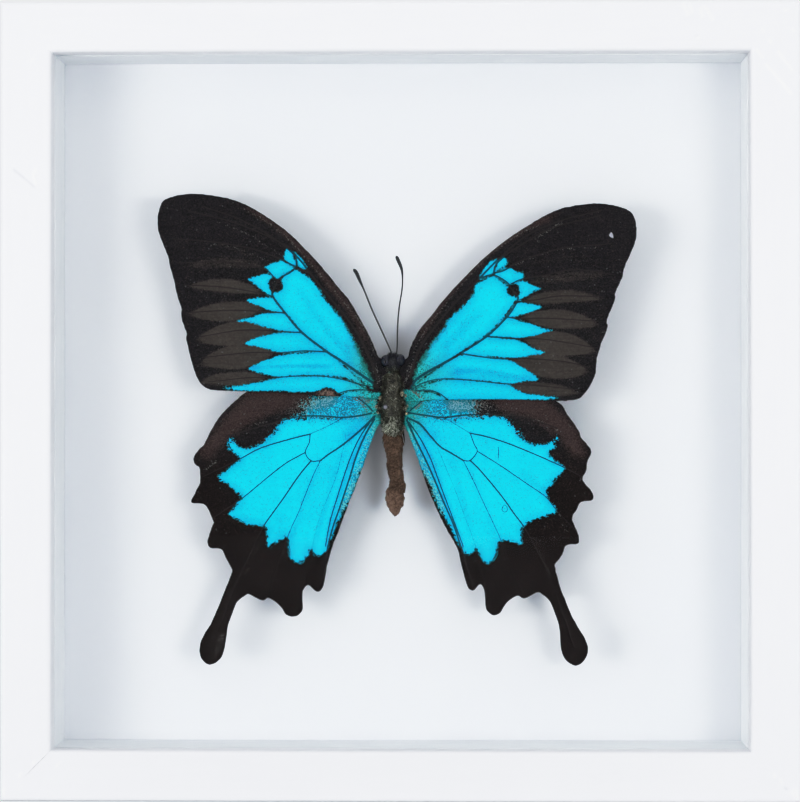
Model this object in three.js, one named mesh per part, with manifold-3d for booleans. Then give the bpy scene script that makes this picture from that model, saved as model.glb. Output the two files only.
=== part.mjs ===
// A spread swallowtail butterfly, pinned in a white box frame with a glass front.
// Millimetres. +X right, +Y towards the wall behind, +Z up. The origin is at the middle
// of the frame's footprint, on the surface that it stands on.
import * as THREE from 'three';
import { mergeVertices } from 'three/addons/utils/BufferGeometryUtils.js';
import Module from 'manifold-3d';

const wasm = await Module();
wasm.setup();

// ---- Driving dimensions: frame ------------------------------------------------------
const FRAME_SIDE = 180;
const FRAME_DEPTH = 32;
const FACE_WIDTH = 11.4; // front face of a rail, outer edge to sight edge
const WALL_WIDTH = 7.4; // rail behind its lip
const LIP_DEPTH = 6;
const ARRIS_RADIUS = 0.9; // eased front edges
const ARRIS_STEPS = 3;
const GAP = 0.3; // air left between pieces that touch
const MITRE_TRIM = 0.2; // taken off each mitred end

const GLASS_THICKNESS = 2;
const BOARD_FRONT_DEPTH = 25; // front of the frame to the face of the mount board
const BOARD_THICKNESS = 2.5;
const PANEL_THICKNESS = 2.5;
const SPACER_SETBACK = 0.1; // spacer face behind the sight edge

const TAB = { width: 6, thickness: 0.5, inWood: 5, overPanel: 6.5, offset: 48 };
const HANGER = { length: 44, height: 6.4, thickness: 0.8, teeth: 9, toothDepth: 1.8 };
const NAIL = { shankRadius: 0.6, headRadius: 1.5, headHeight: 0.5, length: 9, inset: 3.4 };

// ---- Driving dimensions: specimen ---------------------------------------------------
const SPECIMEN = { x: -1.7, depth: 12, z: 90.3 }; // where the wings cross the body axis
const WING_THICKNESS = 0.35;
const WING_RISE = 1.4; // lift of a wing tip towards the glass
const WING_REACH = 55;
const WING_LAYER = 0.75; // hindwings lie this far behind the forewings
const WING_CELL = 4.6; // facet size over a wing

const THORAX = { x: -0.1, y: 1.2, z: -0.9, halfWidth: 3.4, halfDepth: 4.1, halfLength: 7.4 };
const HEAD = { x: -0.2, y: 0.8, z: 8.6, halfWidth: 2.3, halfDepth: 2.2, halfLength: 2.2 };
const EYE = { x: 1.75, y: -0.5, z: 0.5, radius: 1.25 };
const LEG_RADIUS = 0.32;
const STEM_RADIUS = 0.2;
const CLUB_RADIUS = 0.42;
const PIN = { x: -1.8, z: -1.6, radius: 0.25, headRadius: 0.55, headHeight: 0.6, top: -2.5 };

// Abdomen: middle and half width of its rings, from the waist down, and its half depth.
const ABDOMEN_RINGS = [
  { z: -5.2, x: -0.2, y: 1.3, halfWidth: 1.9, halfDepth: 2.1 },
  { z: -8.3, x: -0.2, y: 1.4, halfWidth: 2.05, halfDepth: 2.3 },
  { z: -10.6, x: 0.1, y: 1.5, halfWidth: 1.95, halfDepth: 2.5 },
  { z: -12.9, x: 0.2, y: 1.6, halfWidth: 1.9, halfDepth: 2.6 },
  { z: -15.2, x: 0.3, y: 1.7, halfWidth: 1.75, halfDepth: 2.6 },
  { z: -17.6, x: 0.6, y: 1.9, halfWidth: 1.75, halfDepth: 2.5 },
  { z: -19.7, x: 0.7, y: 2.1, halfWidth: 1.85, halfDepth: 2.3 },
  { z: -21.6, x: 0.3, y: 2.3, halfWidth: 2.05, halfDepth: 2.1 },
  { z: -23.6, x: 0.2, y: 2.5, halfWidth: 1.95, halfDepth: 1.8 },
  { z: -25.4, x: 0.3, y: 2.7, halfWidth: 1.3, halfDepth: 1.2 },
];
const ABDOMEN_TIP = { z: -26.7, x: 0.3, y: 2.8 };
const RING_GROOVE = 0.9; // width of the waist between two rings, as a share of the ring

// Wing outlines, seen from the front: [x, z] from the body axis, round the wing from its
// root. Each list runs along the leading edge, down the outer margin and back inwards.
const FOREWING_LEFT = [
  [-1.6, 8], [-3.5, 9.9], [-4.1, 11.5], [-5.5, 14.6], [-7.6, 18.4], [-10.3, 23],
  [-12.3, 25.3], [-16, 29.9], [-20.2, 34.5], [-25.1, 39.1], [-32, 43.7], [-37.7, 46],
  [-44.4, 47.1], [-49.2, 46.8], [-51.5, 46.1], [-52.9, 45.1], [-53.8, 42.3], [-53.8, 39.1],
  [-52.8, 36.1], [-51.4, 32.5], [-51.2, 31.1], [-50.2, 27.6], [-49.2, 23.2], [-48.4, 20.9],
  [-48.4, 18.6], [-47.3, 15.4], [-47.3, 13.8], [-46.2, 9], [-44.9, 5.2], [-43.8, 3.5],
  [-42.3, 2.5], [-40, 2.2], [-30.8, 1.8], [-21.6, 1.5], [-17.5, 0.9], [-10, 0.8], [-1.6, 0.6],
];
const FOREWING_RIGHT = [
  [1.6, 8], [3.2, 9.7], [3.7, 11.5], [4.6, 13.6], [5.9, 16], [7.9, 18.4], [11.6, 23],
  [15.8, 27.6], [20.5, 32.2], [26.1, 36.8], [33.4, 41.4], [38.5, 43.7], [44.2, 44.6],
  [47.6, 44.7], [52, 43.8], [53.6, 43.1], [54.6, 42.1], [55.2, 40], [55.2, 36.8],
  [54.1, 33.6], [52.7, 30.4], [51.9, 27.4], [50.5, 24.4], [50.4, 22.8], [48.6, 18.2],
  [48.8, 16.6], [47.4, 13], [46.3, 9.2], [46, 6], [44.7, 3.1], [43, 0.9], [41.9, 0.2],
  [40, -0.1], [37.7, -0.2], [24.4, 0.1], [11.3, 0], [1.6, 0.3],
];
const HINDWING_LEFT = [
  [-2, 4], [-14, 5.4], [-28, 5], [-33.8, 1.8], [-37.7, -1.6], [-40, -4.1], [-42.1, -7.6],
  [-43.4, -10.2], [-44.5, -11.3], [-45.8, -13.4], [-45.1, -15], [-44.4, -15.5], [-44.2, -18.2],
  [-44.6, -19.8], [-46.2, -22.9], [-45.7, -23.6], [-43.1, -24], [-41.2, -27.6], [-41.4, -28.8],
  [-42.5, -32], [-42.2, -33.4], [-41.5, -33.9], [-40, -33.9], [-39.1, -34.4], [-38.5, -35.9],
  [-37, -38.6], [-37.1, -39.8], [-39, -44.6], [-41.4, -50.4], [-43, -53.1], [-44, -55.2],
  [-44.4, -57.3], [-43.9, -59.1], [-42.8, -60.3], [-41.5, -60.4], [-40.1, -59.6], [-39, -58],
  [-38.2, -53.8], [-37.8, -51.1], [-36.2, -46.9], [-35.3, -45.7], [-34, -44.7], [-32.9, -44.5],
  [-30.1, -45.8], [-28.4, -45.3], [-25.9, -47.1], [-25, -48.6], [-23.9, -49.4], [-22.7, -49.5],
  [-21.5, -48.9], [-20.8, -47.7], [-20.9, -44.2], [-20.1, -42.6], [-19.3, -42.4],
  [-18.1, -43.5], [-17.2, -43.8], [-16.6, -43.4], [-16, -42.1], [-15.1, -37.3], [-13.8, -32.9],
  [-12.3, -29], [-10.3, -23.7], [-7.4, -16.3], [-4.6, -8.3], [-3.2, -5.5], [-1.4, -4.5],
];
const HINDWING_RIGHT = [
  [2, 4], [14, 4], [30, 3], [37.5, -0.5], [39.8, -3.5], [42.1, -6.9], [42.8, -8.6],
  [44.5, -10.6], [45.1, -12], [44.3, -13.8], [43.9, -16.1], [43.1, -18.2], [44.9, -20.5],
  [45.5, -21.9], [45.2, -22.9], [42.8, -23.3], [41.6, -25.3], [40.7, -27.2], [42.1, -30.6],
  [42.3, -32], [41.9, -32.8], [39.4, -33.2], [38.4, -35.4], [36.9, -37.5], [36.9, -38.6],
  [38.3, -43.5], [40.8, -49.5], [43.6, -54.3], [44.3, -56.4], [44.1, -58.2], [43.1, -59.8],
  [41.7, -60.6], [40.1, -60.1], [38.9, -58.7], [38.2, -56.6], [37.8, -51.8], [36.3, -47.3],
  [35.2, -45.4], [34, -44.4], [32.7, -43.9], [29.9, -45.3], [28.2, -44.7], [25.8, -46.3],
  [24.5, -48.4], [23.7, -49], [22.7, -49.1], [21.5, -48.4], [21, -46.9], [20.8, -43.6],
  [20.2, -42.4], [19.6, -42.1], [18.4, -43.4], [17.6, -43.4], [16.8, -42.3], [15.4, -37.3],
  [14.6, -34], [11.6, -28.5], [8.3, -21.4], [5.1, -12.4], [2.5, -5.8], [1.4, -4.5],
];

// Antenna stems, [x, y, z] from the head up to the base of the club.
const ANTENNA_LEFT = [
  [0, -0.7, 10.5], [-0.8, -1, 13.2], [-3.2, -1.2, 17.5], [-5.9, -1.3, 23.1], [-7.3, -1.4, 26.6],
];
const ANTENNA_RIGHT = [
  [0.9, -0.7, 10.5], [0.9, -1, 13.8], [1, -1.2, 18.4], [1.6, -1.3, 23], [2, -1.4, 28.6],
];
const CLUB_LEFT_TIP = [-8.9, -1.4, 30];
const CLUB_RIGHT_TIP = [0.6, -1.4, 33];

// Folded legs, [x, y, z] from the underside of the thorax, for the right-hand side.
const LEGS_RIGHT = [
  [[1.1, 4, 3.2], [2, 5.6, 4.6], [1.4, 6.2, 7.6], [0.8, 5.6, 10.4]],
  [[1.3, 4.4, -0.6], [2.6, 6.2, -2.2], [2, 6.6, -6.4], [2.6, 6, -10.2]],
  [[1.1, 4.2, -3.6], [1.9, 5.9, -6.2], [1.1, 6.4, -10.4], [1.5, 5.8, -14.6]],
];

// ---- Materials ----------------------------------------------------------------------
const finish = (color, roughness, metalness = 0) =>
  new THREE.MeshStandardMaterial({ color, roughness, metalness });
const WHITE_PAINT = finish(0xf1f2f7, 0.5);
const CLEAR_GLASS = new THREE.MeshStandardMaterial({
  color: 0xe6f0f2, roughness: 0.05, transparent: true, opacity: 0.2,
});
const WHITE_CARD = finish(0xe4e8ef, 0.8);
const HARDBOARD = finish(0x8a6b4a, 0.8);
const STEEL = finish(0x9a9ca0, 0.35, 1);
const BLUE_WING = finish(0x10c4de, 0.5);
const DARK_HAIR = finish(0x3a3c30, 0.9);
const DARK_HORN = finish(0x1c1b1f, 0.4);
const BROWN_BODY = finish(0x4b3a30, 0.85);

// ---- Geometry helpers ---------------------------------------------------------------
const yAtDepth = (depth) => depth - FRAME_DEPTH / 2 - BACK_PROUD / 2;

// What stands behind the rails: the hanger and its nail heads.
const BACK_PROUD = GAP + HANGER.thickness + GAP + NAIL.headHeight;

function toSolid(geometry) {
  const bare = geometry.clone();
  bare.deleteAttribute('normal');
  bare.deleteAttribute('uv');
  const merged = mergeVertices(bare, 1e-5);
  return new wasm.Manifold(new wasm.Mesh({
    numProp: 3,
    vertProperties: new Float32Array(merged.attributes.position.array),
    triVerts: new Uint32Array(merged.index.array),
  }));
}

function toGeometry(solid) {
  const { vertProperties, triVerts } = solid.getMesh();
  const geometry = new THREE.BufferGeometry();
  geometry.setAttribute('position', new THREE.BufferAttribute(vertProperties, 3));
  geometry.setIndex(new THREE.BufferAttribute(triVerts, 1));
  geometry.computeVertexNormals();
  return geometry;
}

const cut = (geometry, ...tools) =>
  toGeometry(tools.reduce((solid, tool) => solid.subtract(toSolid(tool)), toSolid(geometry)));

const join = (geometry, ...others) =>
  toGeometry(others.reduce((solid, other) => solid.add(toSolid(other)), toSolid(geometry)));

const common = (a, b) => toGeometry(toSolid(a).intersect(toSolid(b)));

function mapVertices(geometry, move) {
  const position = geometry.attributes.position;
  const point = new THREE.Vector3();
  for (let i = 0; i < position.count; i += 1) {
    move(point.fromBufferAttribute(position, i));
    position.setXYZ(i, point.x, point.y, point.z);
  }
  geometry.computeVertexNormals();
  return geometry;
}

const box = (width, depth, height, x = 0, y = 0, z = 0) =>
  new THREE.BoxGeometry(width, depth, height).translate(x, y, z);

// A rod or turned piece along +Y, from [radius, y] steps.
function turned(steps, sides) {
  const points = steps.map(([radius, y]) => new THREE.Vector2(radius, y));
  return new THREE.LatheGeometry(points, sides);
}

function tube(points, radius, steps, sides = 6) {
  const path = new THREE.CatmullRomCurve3(points.map((p) => new THREE.Vector3(...p)));
  const section = new THREE.Shape();
  for (let i = 0; i < sides; i += 1) {
    const turn = (i / sides) * 2 * Math.PI;
    const corner = [radius * Math.cos(turn), radius * Math.sin(turn)];
    if (i === 0) section.moveTo(...corner);
    else section.lineTo(...corner);
  }
  section.closePath();
  return new THREE.ExtrudeGeometry(section, { extrudePath: path, steps });
}

function piece(name, geometry, material, group) {
  const mesh = new THREE.Mesh(geometry, material);
  mesh.name = name;
  group.add(mesh);
  return mesh;
}

// ---- Frame --------------------------------------------------------------------------
// A rail's section: u runs from its outer edge inwards, v from the front face back.
function railSection() {
  const section = new THREE.Shape();
  const r = ARRIS_RADIUS;
  section.moveTo(0, FRAME_DEPTH);
  section.lineTo(0, r);
  section.absarc(r, r, r, Math.PI, 1.5 * Math.PI, false);
  section.lineTo(FACE_WIDTH - r, 0);
  section.absarc(FACE_WIDTH - r, r, r, 1.5 * Math.PI, 2 * Math.PI, false);
  section.lineTo(FACE_WIDTH, LIP_DEPTH);
  section.lineTo(WALL_WIDTH, LIP_DEPTH);
  section.lineTo(WALL_WIDTH, FRAME_DEPTH);
  section.closePath();
  return section;
}

// The bottom rail, seen about the frame's centre; its ends are mitred by moving them in.
function bottomRail() {
  const half = FRAME_SIDE / 2;
  const geometry = new THREE.ExtrudeGeometry(railSection(), {
    depth: 1, bevelEnabled: false, steps: 1, curveSegments: ARRIS_STEPS,
  });
  mapVertices(geometry, (p) => {
    const [u, v, end] = [p.x, p.y, p.z > 0.5 ? 1 : -1];
    p.set(end * (half - u - MITRE_TRIM), yAtDepth(v), u - half);
  });
  return facingOut(geometry);
}

// Turns the faces round where a mapping has mirrored them.
function facingOut(geometry) {
  const flat = geometry.index ? geometry.toNonIndexed() : geometry;
  const position = flat.attributes.position;
  const [a, b, c] = [new THREE.Vector3(), new THREE.Vector3(), new THREE.Vector3()];
  let volume = 0;
  for (let i = 0; i < position.count; i += 3) {
    a.fromBufferAttribute(position, i);
    b.fromBufferAttribute(position, i + 1);
    c.fromBufferAttribute(position, i + 2);
    volume += a.dot(b.cross(c));
  }
  if (volume > 0) return flat;
  for (let i = 0; i < position.count; i += 3) {
    b.fromBufferAttribute(position, i + 1);
    c.fromBufferAttribute(position, i + 2);
    position.setXYZ(i + 1, c.x, c.y, c.z);
    position.setXYZ(i + 2, b.x, b.y, b.z);
  }
  flat.computeVertexNormals();
  return flat;
}

const PANEL_DEPTH = BOARD_FRONT_DEPTH + BOARD_THICKNESS + GAP;
const TAB_DEPTH = PANEL_DEPTH + PANEL_THICKNESS + GAP;
const RABBET_SIDE = FRAME_SIDE - 2 * WALL_WIDTH;

// One tab on the bottom rail, about the frame's centre; grow widens it into its slot.
function tabBlank(x, grow = 0) {
  const rabbetEdge = -RABBET_SIDE / 2;
  return box(
    TAB.width + 2 * grow,
    TAB.thickness + 2 * grow,
    TAB.inWood + TAB.overPanel + 2 * grow,
    x,
    yAtDepth(TAB_DEPTH + TAB.thickness / 2),
    rabbetEdge + (TAB.overPanel - TAB.inWood) / 2,
  );
}

function nail() {
  const { shankRadius, headRadius, headHeight, length } = NAIL;
  return turned([
    [0, -length], [shankRadius * 0.6, -length + 0.8], [shankRadius, -length + 1.6],
    [shankRadius, 0], [headRadius, 0], [headRadius, headHeight * 0.6],
    [headRadius * 0.7, headHeight], [0, headHeight],
  ], 12);
}

const nailBore = () => turned([
  [0, -NAIL.length - GAP], [NAIL.shankRadius + GAP, -NAIL.length - GAP],
  [NAIL.shankRadius + GAP, 2], [0, 2],
], 12);

const HANGER_Z = FRAME_SIDE / 2 - WALL_WIDTH / 2;
const HANGER_Y = yAtDepth(FRAME_DEPTH + GAP);
const NAIL_Y = HANGER_Y + HANGER.thickness + GAP;
const nailX = (side) => side * (HANGER.length / 2 - NAIL.inset);

// The hanger plate, with its row of teeth along the lower edge.
function hangerPlate() {
  const { length, height, thickness, teeth, toothDepth } = HANGER;
  const plain = NAIL.inset * 2;
  const pitch = (length - 2 * plain) / teeth;
  const shape = new THREE.Shape();
  shape.moveTo(-length / 2, height / 2);
  shape.lineTo(-length / 2, -height / 2);
  shape.lineTo(-length / 2 + plain, -height / 2);
  for (let i = 0; i < teeth; i += 1) {
    const start = -length / 2 + plain + i * pitch;
    shape.lineTo(start + pitch / 2, -height / 2 + toothDepth);
    shape.lineTo(start + pitch, -height / 2);
  }
  shape.lineTo(length / 2, -height / 2);
  shape.lineTo(length / 2, height / 2);
  shape.closePath();
  const plate = new THREE.ExtrudeGeometry(shape, { depth: thickness, bevelEnabled: false });
  return plate.rotateX(Math.PI / 2).translate(0, HANGER_Y + thickness, 0);
}

function addRails(centre) {
  const rail = bottomRail();
  const sides = [['bottom', 0], ['right', 1], ['top', 2], ['left', 3]];
  for (const [name, quarter] of sides) {
    const slots = [-1, 1].map((side) => tabBlank(side * TAB.offset, GAP));
    let geometry = cut(rail, ...slots);
    if (name === 'top') {
      const bores = [-1, 1].map((side) => nailBore().translate(nailX(side), NAIL_Y, -HANGER_Z));
      geometry = cut(geometry, ...bores);
    }
    const mesh = piece(`frame_rail_${name}`, geometry, WHITE_PAINT, centre);
    mesh.rotation.y = -quarter * Math.PI / 2;
  }
}

function addTabs(centre) {
  let number = 1;
  for (let quarter = 0; quarter < 4; quarter += 1) {
    for (const side of [-1, 1]) {
      const mesh = piece(`retaining_tab_${number}`, tabBlank(side * TAB.offset), STEEL, centre);
      mesh.rotation.y = -quarter * Math.PI / 2;
      number += 1;
    }
  }
}

function addHanger(centre) {
  const bores = [-1, 1].map((side) => nailBore().translate(nailX(side), NAIL_Y, 0));
  const plate = piece('sawtooth_hanger', cut(hangerPlate(), ...bores), STEEL, centre);
  plate.position.z = HANGER_Z;
  for (const [name, side] of [['left', -1], ['right', 1]]) {
    const mesh = piece(`hanger_nail_${name}`, nail(), STEEL, centre);
    mesh.position.set(nailX(side), NAIL_Y, HANGER_Z);
  }
}

function addSheets(centre) {
  const side = RABBET_SIDE - 2 * GAP;
  const glassDepth = LIP_DEPTH + GAP;
  const sheet = (thickness, depth) =>
    box(side, thickness, side, 0, yAtDepth(depth + thickness / 2), 0);
  piece('glass_pane', sheet(GLASS_THICKNESS, glassDepth), CLEAR_GLASS, centre);
  const pinBore = PIN.radius + GAP;
  const pinHole = turned([[0, 0], [pinBore, 0], [pinBore, 20], [0, 20]], 12).translate(
    SPECIMEN.x + PIN.x, yAtDepth(BOARD_FRONT_DEPTH - 5), SPECIMEN.z + PIN.z - FRAME_SIDE / 2,
  );
  const board = cut(sheet(BOARD_THICKNESS, BOARD_FRONT_DEPTH), pinHole);
  piece('mount_board', board, WHITE_CARD, centre);
  piece('back_panel', sheet(PANEL_THICKNESS, PANEL_DEPTH), HARDBOARD, centre);
}

// Spacer strips between the glass and the board; the side strips fit between the others.
function addSpacers(centre) {
  const outer = RABBET_SIDE / 2 - GAP;
  const inner = FRAME_SIDE / 2 - FACE_WIDTH + SPACER_SETBACK;
  const front = LIP_DEPTH + GAP + GLASS_THICKNESS + GAP;
  const back = BOARD_FRONT_DEPTH - GAP;
  const y = yAtDepth((front + back) / 2);
  const middle = (outer + inner) / 2;
  const strip = (length) => box(length, back - front, outer - inner, 0, y, -middle);
  for (const [name, quarter] of [['bottom', 0], ['right', 1], ['top', 2], ['left', 3]]) {
    const length = quarter % 2 ? 2 * (inner - GAP) : 2 * outer;
    const mesh = piece(`spacer_${name}`, strip(length), WHITE_CARD, centre);
    mesh.rotation.y = -quarter * Math.PI / 2;
  }
}

// ---- Specimen -----------------------------------------------------------------------
const wingHeight = (x) => -WING_RISE * (Math.abs(x) / WING_REACH) ** 2;

// A wing: a gently lifted sheet of small facets, cut to the wing's outline.
function wing(outline, layer) {
  const xs = outline.map(([x]) => x);
  const zs = outline.map(([, z]) => z);
  const [left, right] = [Math.min(...xs) - 1, Math.max(...xs) + 1];
  const [low, high] = [Math.min(...zs) - 1, Math.max(...zs) + 1];
  const [width, height] = [right - left, high - low];
  const sheet = new THREE.BoxGeometry(
    width, WING_THICKNESS, height,
    Math.round(width / WING_CELL), 1, Math.round(height / WING_CELL),
  );
  sheet.translate((left + right) / 2, layer, (low + high) / 2);
  mapVertices(sheet, (p) => p.setY(p.y + wingHeight(p.x)));
  const shape = new THREE.Shape(outline.map(([x, z]) => new THREE.Vector2(x, z)));
  const prism = new THREE.ExtrudeGeometry(shape, { depth: 20, bevelEnabled: false });
  prism.rotateX(Math.PI / 2).translate(0, 10, 0);
  return common(sheet, prism);
}

// An egg-shaped form about its centre; grow adds to each half size.
function egg(form, columns, rows, grow = 0) {
  const { x, y, z, halfWidth, halfDepth, halfLength } = form;
  return new THREE.SphereGeometry(1, columns, rows).rotateX(Math.PI / 2)
    .scale(halfWidth + grow, halfDepth + grow, halfLength + grow).translate(x, y, z);
}

const mirrored = (points) => points.map(([x, y, z]) => [-x, y, z]);

function pinBlank(grow = 0) {
  const { radius, headRadius, headHeight, top } = PIN;
  const tip = yAtDepth(BOARD_FRONT_DEPTH + BOARD_THICKNESS) - yAtDepth(SPECIMEN.depth) - 0.3;
  const r = radius + grow;
  const steps = [
    [0, top - headHeight - grow], [(headRadius + grow) * 0.8, top - headHeight - grow],
    [headRadius + grow, top - headHeight * 0.5], [(headRadius + grow) * 0.8, top + grow],
    [r, top + grow + 0.2], [r, tip - 1.2], [0, tip],
  ];
  return facingOut(turned(steps, 10)).translate(PIN.x, 0, PIN.z);
}

function thorax() {
  const legs = LEGS_RIGHT.flatMap((points) =>
    [points, mirrored(points)].map((p) => facingOut(tube(p, LEG_RADIUS, 7, 5))));
  return cut(join(egg(THORAX, 20, 14), ...legs), pinBlank(GAP));
}

const eyes = (grow = 0) => [-1, 1].map((side) =>
  new THREE.SphereGeometry(EYE.radius + grow, 12, 8)
    .translate(HEAD.x + side * EYE.x, HEAD.y + EYE.y, HEAD.z + EYE.z));

function head() {
  const palps = [-1, 1].map((side) => egg({
    x: HEAD.x + side * 0.6, y: HEAD.y + 1, z: HEAD.z + 1.9,
    halfWidth: 0.45, halfDepth: 0.9, halfLength: 0.7,
  }, 8, 6));
  return cut(join(egg(HEAD, 16, 10), ...eyes(), ...palps), egg(THORAX, 20, 14, GAP));
}

// The abdomen: its rings swell a little between grooves.
function abdomen() {
  const sections = [];
  ABDOMEN_RINGS.forEach((ring, i) => {
    sections.push({ ...ring, swell: 1 });
    const next = ABDOMEN_RINGS[i + 1];
    if (next) sections.push(between(ring, next));
  });
  const columns = 14;
  const profile = [new THREE.Vector2(0, 0)];
  sections.forEach((_, i) => profile.push(new THREE.Vector2(1, i + 1)));
  profile.push(new THREE.Vector2(0, sections.length + 1));
  const rings = [{ ...ABDOMEN_RINGS[0] }, ...sections, ABDOMEN_TIP];
  const geometry = new THREE.LatheGeometry(profile, columns);
  mapVertices(geometry, (p) => {
    const ring = rings[Math.round(p.y)];
    const width = (ring.halfWidth ?? 0) * (ring.swell ?? 1);
    const depth = (ring.halfDepth ?? 0) * (ring.swell ?? 1);
    p.set(ring.x + p.x * width, ring.y + p.z * depth, ring.z);
  });
  return cut(facingOut(geometry), egg(THORAX, 20, 14, GAP));
}

function between(a, b) {
  const mean = (key) => (a[key] + b[key]) / 2;
  return {
    z: mean('z'), x: mean('x'), y: mean('y'),
    halfWidth: mean('halfWidth'), halfDepth: mean('halfDepth'), swell: RING_GROOVE,
  };
}

function antenna(stem, tip) {
  const start = new THREE.Vector3(...stem.at(-1));
  const along = new THREE.Vector3(...tip).sub(start);
  const steps = [[0, 0], [0.5, 0.12], [0.85, 0.4], [1, 0.65], [0.8, 0.88], [0, 1]];
  const club = turned(steps.map(([r, t]) => [r * CLUB_RADIUS, t * along.length()]), 8);
  const turn = new THREE.Quaternion()
    .setFromUnitVectors(new THREE.Vector3(0, 1, 0), along.clone().normalize());
  club.applyQuaternion(turn).translate(start.x, start.y, start.z);
  const overlap = start.clone().addScaledVector(along, 0.25).toArray();
  return join(facingOut(tube([...stem, overlap], STEM_RADIUS, 12)), club);
}

function addSpecimen(centre) {
  const group = new THREE.Group();
  group.position.set(SPECIMEN.x, yAtDepth(SPECIMEN.depth), SPECIMEN.z - FRAME_SIDE / 2);
  centre.add(group);
  const aroundHead = [egg(HEAD, 16, 10, GAP), ...eyes(GAP)];
  const aroundBody = [egg(THORAX, 20, 14, GAP), ...aroundHead];
  const wings = [
    ['forewing_left', FOREWING_LEFT, 0], ['forewing_right', FOREWING_RIGHT, 0],
    ['hindwing_left', HINDWING_LEFT, WING_LAYER], ['hindwing_right', HINDWING_RIGHT, WING_LAYER],
  ];
  for (const [name, outline, layer] of wings) {
    piece(name, cut(wing(outline, layer), ...aroundBody), BLUE_WING, group);
  }
  piece('thorax', thorax(), DARK_HAIR, group);
  piece('head', head(), DARK_HORN, group);
  piece('abdomen', abdomen(), BROWN_BODY, group);
  piece('antenna_left', cut(antenna(ANTENNA_LEFT, CLUB_LEFT_TIP), ...aroundHead), DARK_HORN, group);
  piece('antenna_right', cut(antenna(ANTENNA_RIGHT, CLUB_RIGHT_TIP), ...aroundHead), DARK_HORN, group);
  piece('specimen_pin', pinBlank(), STEEL, group);
}

// ---- Assembly -----------------------------------------------------------------------
const specimenInFrame = new THREE.Group();
const frameCentre = new THREE.Group();
frameCentre.position.z = FRAME_SIDE / 2;
specimenInFrame.add(frameCentre);
addRails(frameCentre);
addSheets(frameCentre);
addSpacers(frameCentre);
addTabs(frameCentre);
addHanger(frameCentre);
addSpecimen(frameCentre);

export default specimenInFrame;
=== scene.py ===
import math

import bpy
import numpy as np
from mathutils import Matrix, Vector, geometry, noise


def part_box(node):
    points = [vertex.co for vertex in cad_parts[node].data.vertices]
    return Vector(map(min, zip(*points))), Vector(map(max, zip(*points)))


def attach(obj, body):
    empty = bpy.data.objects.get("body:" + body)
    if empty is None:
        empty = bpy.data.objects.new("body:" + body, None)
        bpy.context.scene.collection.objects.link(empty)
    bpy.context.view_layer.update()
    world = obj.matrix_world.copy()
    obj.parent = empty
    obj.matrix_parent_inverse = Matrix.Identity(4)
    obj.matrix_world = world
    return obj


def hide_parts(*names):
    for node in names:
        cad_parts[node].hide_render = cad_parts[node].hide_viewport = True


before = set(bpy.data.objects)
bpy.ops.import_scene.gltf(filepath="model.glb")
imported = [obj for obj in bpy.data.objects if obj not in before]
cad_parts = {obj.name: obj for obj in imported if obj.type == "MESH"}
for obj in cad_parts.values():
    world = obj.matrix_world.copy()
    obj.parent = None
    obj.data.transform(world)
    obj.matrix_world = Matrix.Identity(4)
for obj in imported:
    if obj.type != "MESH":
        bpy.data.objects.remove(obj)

NOISE_SEED = 1795491084  # unset, the relief of the body would follow the clock
noise.seed_set(NOISE_SEED)
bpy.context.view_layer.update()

MM = 0.001
FRAME_SIDE = 180 * MM
FACE_WIDTH = 11.4 * MM
WALL_WIDTH = 7.4 * MM
LIP_DEPTH = 6 * MM
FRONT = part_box("frame_rail_bottom")[0].y
CENTRE_Z = FRAME_SIDE / 2

# The specimen's own axes: millimetres from where the wings meet the body's axis.
SPECIMEN_X = -1.7
SPECIMEN_Y = (FRONT / MM) + 12
SPECIMEN_Z = 90.3
WING_RISE = 1.4  # lift towards the glass at WING_REACH from the body
WING_REACH = 55
HINDWING_LAYER = 0.75  # how far the hindwings lie behind the forewings
WING_SKIN = 0.12
WING_GRAIN = 0.34  # spacing of a wing's mesh points
LINE_STEP = 0.5  # spacing of points along a marking's middle line
# A vein's stain is its half width times the flare, plus the edge.
VEIN_FLARE, VEIN_EDGE = 1.7, 0.06

HAIR_THICKNESS = 0.06  # at the root of a hair 1 mm long
SHORT_HAIR, LONG_HAIR = 0.55, 1.15  # the range of one coat's lengths
# The head's parts, in specimen millimetres: centre and radii.
HEAD_BALL = ((-0.2, 0.8, 8.5), (2.0, 2.0, 2.2))
EYE_BALLS = (((-1.75, 0.3, 8.8), (1.25, 1.5, 1.5)), ((1.4, 0.3, 9.1), (1.25, 1.5, 1.45)))
PALP = ((0.6, 1.6, 9.4), (0.7, 1.1, 10.3), (0.6, 0.7, 10.9))

# The frame's own sizes in millimetres: room for paint ridges, eased edges, a snug fit.
PAINT_SETBACK = 0.14
OUTER_ARRIS, INNER_ARRIS = 1.0, 0.9
RAIL_COLUMNS = 500
STRIP_GROWTH, STRIP_END_GROWTH = 0.28, 0.27  # the air round its solid that a strip fills
STRIP_EASE, STRIP_NICK = 0.25, 0.07  # how far its edges and its inner corners are eased

WORLD_STRENGTH = 0.80
BEHIND_CAMERA = 0.05  # brightness of the surroundings behind the camera
# Steps from the scene's light to the picture's.
TONES = [(0, 0), (0.03, 0.018), (0.15, 0.105), (0.3, 0.24), (0.5, 0.56), (0.7, 0.78),
         (0.85, 0.88), (1.0, 0.95)]
# Soft lights: name, place and size in metres, watts.
SOFTBOXES = [("softbox_right", (0.40, -0.98, 0.07), (0.24, 0.12), 1.33),
             ("softbox_left", (-0.62, -0.92, 0.07), (0.40, 0.12), 1.98),
             ("softbox_top", (0.0, -1.0, 0.46), (0.8, 0.2), 0.6)]
CAMERA_LENS = 134
CAMERA_DISTANCE, CAMERA_SIDE, CAMERA_DROP = 0.67, 0.0134, 0.0037

rng = np.random.default_rng(7)


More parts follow.
